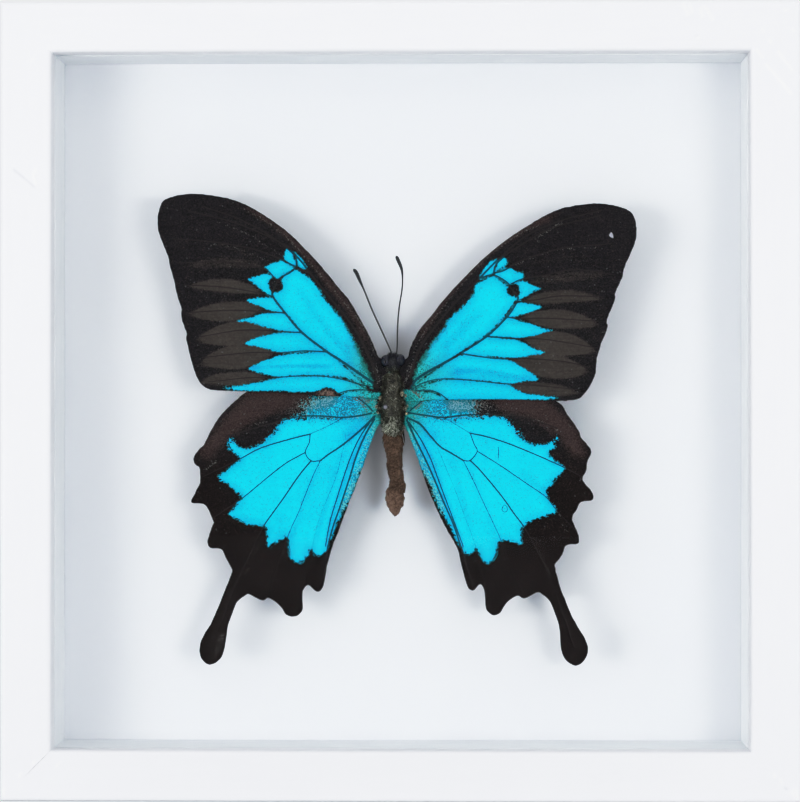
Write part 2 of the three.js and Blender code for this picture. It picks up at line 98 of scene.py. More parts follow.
# ---- Shader building -------------------------------------------------------------------
class Value:
    """A shader output that takes +, -, * and / with other outputs and numbers."""

    def __init__(self, finish, socket):
        self.finish, self.socket = finish, socket

    def _math(self, operation, a, b):
        return self.finish.node("Math", {"operation": operation}, {0: a, 1: b})

    def __add__(self, other):
        return self._math("ADD", self, other)

    def __sub__(self, other):
        return self._math("SUBTRACT", self, other)

    def __mul__(self, other):
        return self._math("MULTIPLY", self, other)

    def __truediv__(self, other):
        return self._math("DIVIDE", self, other)

    def __rsub__(self, other):
        return self._math("SUBTRACT", other, self)

    __radd__, __rmul__ = __add__, __mul__

    def most(self, other):
        return self._math("MAXIMUM", self, other)

    def least(self, other):
        return self._math("MINIMUM", self, other)

    def size(self):
        return self._math("ABSOLUTE", self, 0)

    def rise(self, low, high):
        """0 below low, 1 above high, smooth between."""
        sockets = {"Value": self, "From Min": low, "From Max": high}
        return self.finish.node("MapRange", {"interpolation_type": "SMOOTHSTEP"}, sockets)


class Finish:
    """A material and the one method that adds a node to it."""

    def __init__(self, name):
        self.material = bpy.data.materials.new(name)
        self.material.use_nodes = True
        self.tree = self.material.node_tree
        self.tree.nodes.clear()

    def node(self, kind, settings=None, sockets=None, out=0):
        made = self.tree.nodes.new("ShaderNode" + kind)
        for key, setting in (settings or {}).items():
            setattr(made, key, setting)
        for key, given in (sockets or {}).items():
            target = made.inputs[key]
            if isinstance(given, Value):
                self.tree.links.new(given.socket, target)
            else:
                target.default_value = given
        return Value(self, made.outputs[out])

    def ramp(self, value, stops):
        made = self.tree.nodes.new("ShaderNodeValToRGB")
        while len(made.color_ramp.elements) < len(stops):
            made.color_ramp.elements.new(0.5)
        for element, (place, colour) in zip(made.color_ramp.elements, stops):
            element.position, element.color = place, (*colour, 1)
        self.tree.links.new(value.socket, made.inputs[0])
        return Value(self, made.outputs[0])

    def place(self):
        return self.node("TexCoord", out="Object")

    def attribute(self, name):
        return self.node("Attribute", {"attribute_name": name}, out="Fac")

    def stretched(self, scale):
        return self.node("Mapping", {}, {"Vector": self.place(), "Scale": scale})

    def noise(self, scale, detail=3, rough=0.55, vector=None):
        sockets = {"Vector": vector or self.place(), "Scale": scale, "Detail": detail,
                   "Roughness": rough}
        return self.node("TexNoise", {}, sockets)

    def cells(self, scale, vector=None):
        """A random value for each small cell."""
        sockets = {"Vector": vector or self.place(), "Scale": scale}
        colour = self.node("TexVoronoi", {}, sockets, out="Color")
        return self.node("SeparateColor", {}, {0: colour})

    def blend(self, factor, a, b):
        settings = {"data_type": "RGBA"}
        a, b = [c if isinstance(c, Value) else (*c, 1) for c in (a, b)]
        return self.node("Mix", settings, {0: factor, 6: a, 7: b}, out=2)

    def bump(self, height, distance, strength=1.0, under=None):
        sockets = {"Height": height, "Distance": distance, "Strength": strength}
        if under:
            sockets["Normal"] = under
        return self.node("Bump", {}, sockets)

    def axes(self, vector=None):
        parts = self.tree.nodes.new("ShaderNodeSeparateXYZ")
        self.tree.links.new((vector or self.place()).socket, parts.inputs[0])
        return [Value(self, parts.outputs[i]) for i in range(3)]

    def principled(self, sockets):
        return self.node("BsdfPrincipled", {}, sockets)

    def done(self, surface):
        output = self.tree.nodes.new("ShaderNodeOutputMaterial")
        self.tree.links.new(surface.socket, output.inputs["Surface"])
        return self.material


# ---- Mesh building ---------------------------------------------------------------------
def make_piece(name, points, faces, material, nodes=(), smooth=True):
    """A piece from points in metres; it stands for the named solids and rides on them."""
    mesh = bpy.data.meshes.new(name)
    mesh.from_pydata([tuple(p) for p in points], [], [tuple(f) for f in faces])
    mesh.validate()
    mesh.polygons.foreach_set("use_smooth", [smooth] * len(mesh.polygons))
    mesh.materials.append(material)
    piece = bpy.data.objects.new(name, mesh)
    bpy.context.scene.collection.objects.link(piece)
    return enlist(piece, nodes)


def enlist(piece, nodes):
    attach(piece, "root")
    if nodes:
        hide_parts(*nodes)
    return piece


def add_attribute(piece, name, values):
    layer = piece.data.attributes.new(name, "FLOAT", "POINT")
    layer.data.foreach_set("value", np.asarray(values, dtype=np.float32))


def join_parts(parts):
    """Joins (points, faces) pairs into one pair."""
    points, faces, start = [], [], 0
    for part_points, part_faces in parts:
        points.extend(part_points)
        faces.extend([tuple(i + start for i in face) for face in part_faces])
        start += len(part_points)
    return points, faces


def curve_points(corners, spacing, closed=False):
    """Points about `spacing` apart on a smooth curve through the corners."""
    corners = np.asarray(corners, dtype=float)
    count = len(corners)
    if closed:
        padded = np.vstack([corners[-1], corners, corners[0], corners[1]])
    else:
        first, last = 2 * corners[0] - corners[1], 2 * corners[-1] - corners[-2]
        padded = np.vstack([first, corners, last])
    rows = []
    for i in range(count if closed else count - 1):
        p0, p1, p2, p3 = padded[i:i + 4]
        steps = max(1, int(math.ceil(np.linalg.norm(p2 - p1) / spacing)))
        t = (np.arange(steps) / steps)[:, None]
        rows.append(0.5 * (2 * p1 + (p2 - p0) * t + (2 * p0 - 5 * p1 + 4 * p2 - p3) * t**2
                           + (3 * p1 - p0 - 3 * p2 + p3) * t**3))
    if not closed:
        rows.append(corners[-1:])
    return np.vstack(rows)


def distance_to(points, line, closed=False):
    """Each point's distance to a line, and how far along the line the nearest place is."""
    a = line if closed else line[:-1]
    b = np.roll(line, -1, axis=0) if closed else line[1:]
    best, along = np.full(len(points), 1e9), np.zeros(len(points))
    for start in range(0, len(points), 2000):
        p = points[start:start + 2000, None, :]
        run = b - a
        t = np.clip(((p - a) * run).sum(-1) / np.maximum((run * run).sum(-1), 1e-12), 0, 1)
        gap = np.linalg.norm(p - a - t[..., None] * run, axis=-1)
        nearest = gap.argmin(1)
        rows = np.arange(len(nearest))
        best[start:start + 2000] = gap[rows, nearest]
        along[start:start + 2000] = (nearest + t[rows, nearest]) / len(a)
    return best, along


def inside(points, outline):
    """Which points lie inside an outline."""
    x, y = points[:, 0, None], points[:, 1, None]
    a, b = outline, np.roll(outline, -1, axis=0)
    spans = (a[:, 1] > y) != (b[:, 1] > y)
    slope = (b[:, 0] - a[:, 0]) / np.where(b[:, 1] == a[:, 1], 1e-12, b[:, 1] - a[:, 1])
    crossings = spans & (x < a[:, 0] + (y - a[:, 1]) * slope)
    return crossings.sum(1) % 2 == 1


def depth_inside(points, outline):
    """Distance to an outline, positive inside it."""
    gap, _ = distance_to(points, outline, closed=True)
    return np.where(inside(points, outline), gap, -gap)


def in_frame(points):
    """Specimen millimetres [x, y, z] to metres in the part's frame."""
    return (np.asarray(points, dtype=float) + [SPECIMEN_X, SPECIMEN_Y, SPECIMEN_Z]) * MM


def swept(path, widths, depths, sides):
    """A closed form along a path: an ellipse at each place, closed to a point at both ends."""
    path = np.asarray(path, dtype=float)
    points, faces = [path[0]], []
    side = np.array([1.0, 0, 0])
    for i in range(1, len(path) - 1):
        along = path[i + 1] - path[i - 1]
        along /= np.linalg.norm(along)
        side = side - along * (side @ along)
        side /= np.linalg.norm(side)
        up = np.cross(along, side)
        for k in range(sides):
            turn = 2 * math.pi * k / sides
            reach = side * math.cos(turn) * widths[i] + up * math.sin(turn) * depths[i]
            points.append(path[i] + reach)
    points.append(path[-1])
    last, rings = len(points) - 1, len(path) - 2
    for k in range(sides):
        n = (k + 1) % sides
        faces.append((0, 1 + n, 1 + k))
        for r in range(rings - 1):
            a, b = 1 + r * sides, 1 + (r + 1) * sides
            faces.append((a + k, a + n, b + n, b + k))
        a = 1 + (rings - 1) * sides
        faces.append((a + k, a + n, last))
    return np.array(points), faces


def ball(centre, radii, columns=32, rows=20):
    """A closed ellipsoid, its poles along Z."""
    turns = np.linspace(0, math.pi, rows + 1)
    path = [np.array([0, 0, -math.cos(t)]) * radii[2] + centre for t in turns]
    path[0] = path[0] - [0, 0, 1e-4]
    path[-1] = path[-1] + [0, 0, 1e-4]
    return swept(path, [math.sin(t) * radii[0] for t in turns],
                 [math.sin(t) * radii[1] for t in turns], columns)


# ---- Wing outlines and markings, in specimen millimetres -------------------------------
FORE_L_OUTLINE = [
    (-1.6, 8), (-3.5, 9.9), (-4.1, 11.5), (-5.5, 14.6), (-7.6, 18.4), (-10.3, 23),
    (-12.3, 25.3), (-16, 29.9), (-20.2, 34.5), (-25.1, 39.1), (-32, 43.7), (-37.7, 46),
    (-44.4, 47.1), (-49.2, 46.8), (-51.5, 46.1), (-52.9, 45.1), (-53.8, 42.3),
    (-53.8, 39.1), (-52.8, 36.1), (-51.4, 32.5), (-51.2, 31.1), (-50.2, 27.6),
    (-49.2, 23.2), (-48.4, 20.9), (-48.4, 18.6), (-47.3, 15.4), (-47.3, 13.8),
    (-46.2, 9), (-44.9, 5.2), (-43.8, 3.5), (-42.3, 2.5), (-40, 2.2), (-30.8, 1.8),
    (-21.6, 1.5), (-17.5, 0.9), (-10, 0.8), (-1.6, 0.6)]
FORE_L_BLUE = [
    [(-4.8, 2.5), (-7.4, 4.4), (-10.1, 6.9), (-15, 10.6), (-17.9, 12.9), (-20.9, 15.2),
     (-23.2, 18.2), (-24.8, 20), (-27.4, 23.5), (-27.4, 24.4), (-26.7, 25.3), (-26, 26.7),
     (-25.3, 28.2), (-22.5, 29.8), (-21.2, 29.3), (-18.9, 27.8), (-17.2, 25.5), (-15.6, 23),
     (-13.3, 20.5), (-11, 17.5), (-9.4, 14.3), (-7.8, 10.8), (-6.2, 7.1), (-4.8, 4.1)],
    [(-24.8, 34), (-24.2, 34.6), (-23.5, 34), (-22.9, 32.9), (-22.2, 30.6), (-23.2, 30.6),
     (-24.4, 31.5), (-25.1, 32.7)],
    [(-23.1, 34), (-22.1, 33.4), (-20.7, 32), (-19.8, 30.1), (-21.2, 30.1), (-21.9, 30.7),
     (-22.5, 32.9)],
    [(-29.7, 30.4), (-27.1, 31.5), (-25.5, 32.1), (-24.4, 31.3), (-22.5, 30.1),
     (-23.9, 29.3), (-25.3, 28.3), (-26.5, 27.7), (-28.3, 28.8), (-28.8, 29.7)],
    [(-33.4, 27.6), (-31.3, 28.3), (-29, 28.8), (-27.8, 28.1), (-28.3, 27.4), (-28.5, 26),
     (-27.6, 23.9), (-28.3, 23.7), (-30.4, 25.3), (-32, 26.6)],
    [(-33.4, 22.7), (-31.3, 23.3), (-29, 23.5), (-27.4, 23.2), (-26.2, 21.6), (-25.1, 20),
     (-27.1, 20.1), (-29.7, 21)],
    [(-35.9, 18.1), (-32.7, 18.9), (-29.9, 19.8), (-27.4, 20), (-24.8, 19.8), (-23.2, 17.9),
     (-21.2, 15.4), (-23.9, 15.5), (-27.1, 16), (-30.8, 17.2), (-33.1, 17.7)],
    [(-34.3, 12.7), (-32, 14.1), (-28.5, 15), (-26.2, 15.4), (-21.2, 15.3), (-18.2, 13),
     (-15.6, 11.2), (-19.3, 11), (-23.2, 10.7), (-26.2, 10.9), (-29.4, 11.8), (-32.2, 12.4)],
    [(-33.1, 7.1), (-30.8, 8.5), (-27.6, 9.7), (-24.4, 10.5), (-19.3, 10.8), (-15.2, 10.8),
     (-10.6, 7.2), (-6.9, 3.7), (-6, 2.5), (-8.3, 3.8), (-11.3, 5.1), (-15.2, 5.5),
     (-21.6, 5.6), (-26.2, 5.3), (-29.4, 5.9)],
    [(-39.1, 2.9), (-35.4, 3.3), (-30.8, 4.1), (-27.1, 4.9), (-23.9, 5.4), (-15.2, 5.4),
     (-11.3, 4.8), (-8.3, 3.6), (-5.5, 1.8), (-9.7, 2.1), (-12, 1.4), (-13.8, 2.3),
     (-15.6, 2.8), (-17.5, 2), (-21.6, 1.7), (-26.2, 2), (-35.4, 2.1)],
    [(-12.2, 0.9), (-9.9, 2.1), (-7.1, 2), (-4.6, 1.8), (-2.1, 1.4), (-2.1, -0.5),
     (-5.5, 0), (-9, 0), (-11.3, 0.2)]]
# Veins: half width at the root and at the tip, darkness, then the line.
FORE_L_VEINS = [
    (0.3, 0.16, 1, [(-3.7, 3.2), (-12.4, 9.2), (-15.2, 11), (-20.9, 15.4), (-24.8, 19.9),
                    (-27.6, 23.7), (-27.4, 25.3), (-26.9, 26.3), (-26, 27.8), (-23.9, 29),
                    (-22.1, 30.1), (-19.3, 29)]),
    (0.16, 0.1, 0.9, [(-15.2, 11), (-20.5, 11.2), (-25.5, 10.8), (-33.1, 10.8), (-43.5, 9.7)]),
    (0.15, 0.1, 0.9, [(-20.9, 15.4), (-25.1, 15.6), (-28.5, 15.9), (-35.4, 15.9),
                      (-43.9, 14.5)]),
    (0.15, 0.1, 0.9, [(-24.8, 19.9), (-29.7, 20.2), (-37.7, 20.5), (-46.5, 20)]),
    (0.15, 0.1, 0.9, [(-27.6, 23.7), (-30.4, 24.4), (-38.9, 25.8), (-47.4, 26.2)]),
    (0.15, 0.1, 0.9, [(-26.9, 27.6), (-29.7, 29.9), (-37.7, 31.5), (-49.2, 31.3)]),
    (0.17, 0.1, 1, [(-22.3, 30.4), (-26, 32.2), (-32, 34.5), (-41.2, 36.1), (-50.4, 36.8)]),
    (0.17, 0.1, 1, [(-22.1, 30.1), (-22.3, 32.2), (-23, 34), (-25.1, 35.6), (-35.4, 40.2),
                    (-46.9, 43.2)]),
    (0.15, 0.1, 0.8, [(-3.2, 2.8), (-7.4, 3.5), (-11.3, 4.6), (-15.9, 5.4), (-21.6, 5.5),
                      (-27.4, 5.1), (-33.1, 5.1), (-42.3, 4.1)]),
    (0.15, 0.12, 0.8, [(-4.1, 2.2), (-9, 2.3), (-12, 1.7), (-13.3, 0.9)]),
    (0.3, 0.1, 1, [(-3.5, 4.6), (-5.1, 8.7), (-7.4, 13.8), (-10.1, 17.9), (-14.7, 23.5),
                   (-18.9, 28.8), (-22.5, 33.1), (-28.5, 37.7), (-35.4, 41.4), (-43.5, 44.2)])]
# Brown felted streaks: half width, strength, then the streak's own middle line.
FORE_L_STREAKS = [
    (1.6, 0.85, [(-29.9, 24.4), (-35.4, 25.8), (-41.2, 26.2), (-47.6, 26)]),
    (2.2, 1, [(-29.4, 21.2), (-35.4, 20.5), (-41.2, 20), (-47.4, 19.6)]),
    (2.75, 1, [(-27.1, 16.1), (-34.3, 15.4), (-39.6, 14.7), (-45.5, 13.6)]),
    (2.75, 1, [(-27.1, 11), (-35.4, 9.9), (-40.5, 9.2), (-44.6, 8.1)]),
    (1.6, 0.8, [(-28.5, 5.3), (-35.4, 4.9), (-41.2, 4.6), (-44.6, 3.7)]),
    (1.3, 0.45, [(-28.1, 30.4), (-35.4, 31.3), (-42.3, 31.3), (-48.5, 30.4)]),
    (0.7, 0.3, [(-28.5, 31.5), (-33.1, 33.4), (-38.2, 35.2), (-43.5, 35.9)])]
# Where the blue's edge breaks up into loose scales: x, z, reach and softness.
FORE_L_SOFT = [
    (-18.9, 28.3, 3, 0.75), (-16.1, 24.8, 4, 0.9), (-12.9, 20, 4, 1), (-10.3, 16.1, 4, 1.2),
    (-8.5, 11.5, 4, 1.5), (-6.7, 8.3, 3, 1.8), (-4.8, 5.3, 2.2, 1.6), (-37.7, 3, 4, 0.9),
    (-23.9, 32.9, 4, 0.3), (-29, 30.8, 3, 0.5), (-32.2, 27.6, 3, 0.6), (-20.5, 31.7, 2, 0.6)]
FORE_R_OUTLINE = [
    (1.6, 8), (3.2, 9.7), (3.7, 11.5), (4.6, 13.6), (5.9, 16), (7.9, 18.4), (11.6, 23),
    (15.8, 27.6), (20.5, 32.2), (26.1, 36.8), (33.4, 41.4), (38.5, 43.7), (44.2, 44.6),
    (47.6, 44.7), (52, 43.8), (53.6, 43.1), (54.6, 42.1), (55.2, 40), (55.2, 36.8),
    (54.1, 33.6), (52.7, 30.4), (51.9, 27.4), (50.5, 24.4), (50.4, 22.8), (48.6, 18.2),
    (48.8, 16.6), (47.4, 13), (46.3, 9.2), (46, 6), (44.7, 3.1), (43, 0.9), (41.9, 0.2),
    (40, -0.1), (37.7, -0.2), (24.4, 0.1), (11.3, 0), (1.6, 0.3)]
FORE_R_BLUE = [
    [(3.9, 2.5), (6, 4.5), (8.3, 6.3), (11.7, 8.4), (15, 10.6), (20.9, 14.7), (23, 16.6),
     (25.3, 19.1), (27.8, 22.8), (27.4, 23.9), (26.7, 25.3), (24.4, 27.3), (22.5, 28.3),
     (20.7, 27.4), (18.6, 26.2), (17.7, 23.5), (15.2, 20.9), (12.7, 18.4), (10.8, 15.6),
     (8.7, 12.9), (6.7, 9.7), (5.3, 7.1), (4.4, 4.4)],
    [(19.6, 27.5), (20.2, 29.2), (21.2, 30.6), (22.3, 31.7), (23.7, 32.1), (23.2, 30.4),
     (22.5, 28.6)],
    [(23.7, 31.7), (25.3, 32.7), (26.1, 31.5), (25.3, 30.4), (23.9, 29.7), (23, 29),
     (23.5, 30.6)],
    [(23, 28.5), (24.4, 29.7), (26.7, 30.1), (28.1, 29.4), (29.7, 29), (29.4, 27.5),
     (27.8, 27), (26.5, 26.2), (25.1, 27.1)],
    [(26.9, 26.5), (29, 27.1), (30.6, 26.9), (31.7, 26.2), (33.8, 25.4), (32.2, 24.8),
     (30.4, 23.7), (28.1, 22.4), (27.8, 23.2), (28.8, 24.8)],
    [(28.1, 22.2), (30.8, 22), (33.8, 21.3), (31.5, 20.1), (29, 19.3), (25.8, 18.7),
     (26.7, 20.5)],
    [(25.3, 18.7), (27.8, 18.5), (31.3, 17.4), (34, 16.4), (36.3, 15.9), (33.6, 15.1),
     (30.4, 14.3), (27.6, 14.1), (21.4, 14.6), (23, 16.3)],
    [(20.9, 14.4), (24.4, 14.1), (27.4, 13.9), (30.1, 12.9), (32.7, 11.5), (34.7, 10.8),
     (31.3, 10.1), (27.6, 9.5), (23.2, 9.8), (15.4, 10.3), (17.9, 12.3)],
    [(15, 10.2), (19.8, 10), (24.4, 9.5), (26.7, 8.9), (29.7, 7.4), (32, 5.8), (32.9, 4.6),
     (29.4, 4.1), (26.2, 3.6), (20.9, 4.3), (15.6, 4.7), (12, 4.8), (8.3, 4), (4.1, 2.3),
     (6.4, 4.6), (10.6, 7.5)],
    [(4.1, 2.1), (8.3, 3.8), (12, 4.7), (17.5, 4.5), (25.5, 3.6), (28.1, 2.4), (30.8, 1.4),
     (37.5, 0.7), (35.4, 0.1), (29, 0), (19.8, 0.1), (12.4, 0), (10.1, 1.5), (7.8, 2),
     (4.8, 2)],
    [(2.3, 2.3), (4.8, 2), (7.4, 1.8), (9.2, 1.6), (12, -0.1), (7.1, -0.2), (2.3, -0.5)]]
FORE_R_VEINS = [
    (0.3, 0.16, 1, [(3.5, 2.5), (6, 5.3), (12.9, 9.2), (15.2, 10.6), (21.2, 14.5),
                    (25.8, 18.9), (28.1, 22.3), (28.3, 23.7), (27.1, 25.1), (26, 26.7),
                    (22.8, 28.5), (19.8, 27.8)]),
    (0.16, 0.1, 0.9, [(15.2, 10.6), (19.8, 9.9), (24.4, 9.4), (31.3, 9.4), (39.3, 8.7),
                      (44.6, 7.4)]),
    (0.15, 0.1, 0.9, [(21.2, 14.5), (27.8, 14), (34.7, 13.8), (45.5, 12)]),
    (0.15, 0.1, 0.9, [(25.8, 18.9), (29, 18.6), (35.9, 18.6), (46.7, 17.9)]),
    (0.15, 0.1, 0.9, [(28.1, 22.3), (32.4, 22.8), (38.2, 23.7), (47.8, 23.5)]),
    (0.15, 0.1, 0.9, [(26.9, 26.5), (29.4, 27.6), (33.6, 28.3), (41.6, 29.7), (50.1, 28.5)]),
    (0.17, 0.1, 1, [(23.2, 29), (25.5, 29.7), (29, 31.7), (38.2, 34.5), (49.7, 35.6)]),
    (0.17, 0.1, 1, [(22.8, 28.5), (23.2, 30.4), (24.4, 32), (27.8, 34.5), (35.9, 39.1),
                    (47.4, 42.1)]),
    (0.15, 0.1, 0.8, [(4.1, 2.3), (6.4, 3.7), (9.4, 4.6), (12.9, 4.8), (18.6, 4.4),
                      (25.5, 3.7), (33.6, 3.2), (42.3, 2.3)]),
    (0.15, 0.12, 0.8, [(5.1, 2.1), (8.3, 2.2), (10.6, 1.4), (12.4, 0)]),
    (0.3, 0.1, 1, [(3.7, 5.1), (5.1, 9.7), (6.9, 13.3), (9.7, 17), (14, 22.1), (18.6, 26.7),
                   (23.5, 31.7), (30.1, 37.3), (38.2, 40.9), (47.4, 43.2)])]
FORE_R_STREAKS = [
    (1.5, 0.85, [(29, 22.3), (33.6, 23.1), (40.5, 23.6), (48.3, 23)]),
    (2.15, 1, [(29, 19.1), (34.7, 18.6), (40.5, 18.2), (47.4, 17)]),
    (2.75, 1, [(29.4, 14.3), (35.9, 13.1), (40.9, 12.4), (46.5, 11)]),
    (2.85, 1, [(26.2, 9), (32.4, 8.3), (38.2, 7.4), (45.1, 6.2)]),
    (1.6, 0.8, [(25.5, 3.5), (32.4, 2.6), (38.2, 2.1), (42.8, 1.4)]),
    (1.2, 0.45, [(29.9, 26.9), (35.9, 27.8), (43.9, 28.3), (51.1, 29.2)]),
    (0.7, 0.3, [(27.8, 29.9), (34.7, 31.7), (42.8, 32.4), (50.1, 31.7)])]
FORE_R_SOFT = [
    (17.5, 24.8, 4, 0.9), (14.7, 20.5, 4, 1), (11.7, 16.8, 4, 1.2), (9.4, 13.3, 4, 1.5),
    (6.9, 9.9, 3, 1.8), (4.6, 6, 2.2, 1.5), (35.9, 0.7, 4, 0.9), (25.1, 31.7, 4, 0.7),
    (29, 29, 3, 0.8), (33.1, 25.5, 3, 0.6), (32.7, 21.4, 3, 0.5), (20.5, 28.5, 2, 0.9)]
HIND_L_OUTLINE = [
    (-2, 4), (-14, 5.4), (-28, 5), (-33.8, 1.8), (-37.7, -1.6), (-40, -4.1), (-42.1, -7.6),
    (-43.4, -10.2), (-44.5, -11.3), (-45.8, -13.4), (-45.1, -15), (-44.4, -15.5),
    (-44.2, -18.2), (-44.6, -19.8), (-46.2, -22.9), (-45.7, -23.6), (-43.1, -24),
    (-41.2, -27.6), (-41.4, -28.8), (-42.5, -32), (-42.2, -33.4), (-41.5, -33.9),
    (-40, -33.9), (-39.1, -34.4), (-38.5, -35.9), (-37, -38.6), (-37.1, -39.8),
    (-39, -44.6), (-41.4, -50.4), (-43, -53.1), (-44, -55.2), (-44.4, -57.3),
    (-43.9, -59.1), (-42.8, -60.3), (-41.5, -60.4), (-40.1, -59.6), (-39, -58),
    (-38.2, -53.8), (-37.8, -51.1), (-36.2, -46.9), (-35.3, -45.7), (-34, -44.7),
    (-32.9, -44.5), (-30.1, -45.8), (-28.4, -45.3), (-25.9, -47.1), (-25, -48.6),
    (-23.9, -49.4), (-22.7, -49.5), (-21.5, -48.9), (-20.8, -47.7), (-20.9, -44.2),
    (-20.1, -42.6), (-19.3, -42.4), (-18.1, -43.5), (-17.2, -43.8), (-16.6, -43.4),
    (-16, -42.1), (-15.1, -37.3), (-13.8, -32.9), (-12.3, -29), (-10.3, -23.7),
    (-7.4, -16.3), (-4.6, -8.3), (-3.2, -5.5), (-1.4, -4.5)]
HIND_L_BLUE = [
    [(-4.6, -3), (-7.8, -3.6), (-11.7, -4.1), (-15.9, -3.8), (-21.6, -3.9), (-24.2, -4.4),
     (-26.2, -5.5), (-27.8, -7.8), (-30.1, -9.9), (-33.1, -10.8), (-35.4, -10.5),
     (-37.5, -9), (-37.7, -11.3), (-35.9, -12.7), (-35.4, -13.8), (-37.7, -15.6),
     (-40, -17.7), (-37.7, -19.6), (-35.2, -21.6), (-35, -22.5), (-36.3, -24.4),
     (-37.7, -26.5), (-35.4, -27.4), (-33.1, -28.5), (-29.9, -29), (-29, -30.4),
     (-29, -33.6), (-27.1, -32.7), (-24.8, -31.3), (-24.2, -32), (-23.7, -35.9),
     (-22.5, -37), (-20.9, -37), (-19.6, -35.2), (-19.1, -34), (-17.9, -35.6),
     (-15.9, -35.4), (-14.5, -32.4), (-12.7, -27.8), (-11, -24.6), (-9.1, -20.5),
     (-7.4, -16.3), (-5.8, -12.9), (-4.1, -8.5), (-2.5, -4.1)],
    [(-4.6, -3.7), (-7.8, -4.3), (-11.7, -4.7), (-16.6, -4.4), (-20.2, -4.1), (-20.2, -0.9),
     (-17.5, 0.9), (-11.3, 2.3), (-4.6, 2.3)]]
HIND_L_VEINS = [
    (0.17, 0.1, 1, [(-5.1, -3), (-7.8, -3.6), (-11.7, -4), (-15.9, -3.7), (-21.6, -3.8),
                    (-28.5, -5.5), (-38.2, -8.3)]),
    (0.15, 0.12, 0.9, [(-4.8, -2.5), (-6.4, -0.9), (-8.5, 0.7)]),
    (0.12, 0.1, 0.6, [(-11.7, -4.1), (-14.7, -5.8), (-19.1, -7.8)]),
    (0.13, 0.09, 0.95, [(-19.1, -7.8), (-23.9, -9), (-30.4, -11), (-35.4, -13.6),
                        (-43.5, -17.5)]),
    (0.12, 0.12, 0.75, [(-19.1, -7.8), (-19.3, -9.7), (-20.2, -12), (-18.9, -13.9),
                        (-16.8, -13.9)]),
    (0.13, 0.09, 0.8, [(-20.2, -12), (-23.9, -14), (-26.2, -15.6), (-29.7, -18.4),
                       (-34.7, -22.5), (-41.9, -27.4)]),
    (0.14, 0.09, 0.95, [(-18.9, -13.9), (-21.6, -17.2), (-25.1, -22.3), (-27.4, -25.5),
                        (-29.9, -29.2), (-33.6, -36.8), (-36.3, -42.6), (-38.9, -49.5),
                        (-41.9, -56.4)]),
    (0.22, 0.14, 1, [(-4.4, -3.7), (-6.4, -5.8), (-9.7, -8.7), (-12.4, -10.8),
                     (-14.7, -12.3), (-16.8, -13.9)]),
    (0.11, 0.08, 0.65, [(-16.8, -13.9), (-18.6, -17.7), (-21.6, -25.3), (-23.7, -29.9),
                        (-26.2, -36.8), (-28.5, -44.2)]),
    (0.11, 0.08, 0.5, [(-11.3, -10.3), (-13.3, -17.9), (-16.6, -26), (-18.6, -33.4),
                       (-21.2, -46)]),
    (0.2, 0.12, 1, [(-4.4, -4.4), (-6.4, -7.8), (-8.5, -12.7), (-10.1, -17.9),
                    (-12.2, -24.2), (-13.8, -28.8), (-15, -33.4), (-16.1, -40.2),
                    (-17.2, -42.6)]),
    (0.14, 0.1, 0.85, [(-5.1, -4.6), (-7.6, -8.3), (-9.7, -12.7), (-11.3, -17.2),
                       (-12.9, -22.3), (-14.5, -27.6), (-15.6, -33.4)])]
HIND_L_SOFT = [
    (-18.4, -0.9, 7, 3.2), (-25.3, -4.8, 4, 1.5), (-28.1, -7.6, 4, 1.8),
    (-32.7, -10.6, 3, 1), (-37, -9.9, 3, 1.4), (-21.6, -37, 3, 0.9), (-27.4, -32.9, 3, 0.8),
    (-32.7, -28.5, 3, 0.7), (-17, -35.6, 3, 0.7), (-4.4, -3.7, 3, 1), (-7.8, -11.5, 3, 0.4),
    (-11, -23, 4, 0.7), (-12.9, -27.6, 3, 0.7)]
HIND_L_DUST = [(-4.1, 3), (-10, 3.5), (-14, 2.5), (-17, 0.6), (-20.9, -1), (-23.9, -3),
               (-19.3, -4), (-12.4, -4.4), (-4.1, -2.8)]
HIND_R_OUTLINE = [
    (2, 4), (14, 4), (30, 3), (37.5, -0.5), (39.8, -3.5), (42.1, -6.9), (42.8, -8.6),
    (44.5, -10.6), (45.1, -12), (44.3, -13.8), (43.9, -16.1), (43.1, -18.2), (44.9, -20.5),
    (45.5, -21.9), (45.2, -22.9), (42.8, -23.3), (41.6, -25.3), (40.7, -27.2),
    (42.1, -30.6), (42.3, -32), (41.9, -32.8), (39.4, -33.2), (38.4, -35.4), (36.9, -37.5),
    (36.9, -38.6), (38.3, -43.5), (40.8, -49.5), (43.6, -54.3), (44.3, -56.4),
    (44.1, -58.2), (43.1, -59.8), (41.7, -60.6), (40.1, -60.1), (38.9, -58.7),
    (38.2, -56.6), (37.8, -51.8), (36.3, -47.3), (35.2, -45.4), (34, -44.4), (32.7, -43.9),
    (29.9, -45.3), (28.2, -44.7), (25.8, -46.3), (24.5, -48.4), (23.7, -49), (22.7, -49.1),
    (21.5, -48.4), (21, -46.9), (20.8, -43.6), (20.2, -42.4), (19.6, -42.1), (18.4, -43.4),
    (17.6, -43.4), (16.8, -42.3), (15.4, -37.3), (14.6, -34), (11.6, -28.5), (8.3, -21.4),
    (5.1, -12.4), (2.5, -5.8), (1.4, -4.5)]
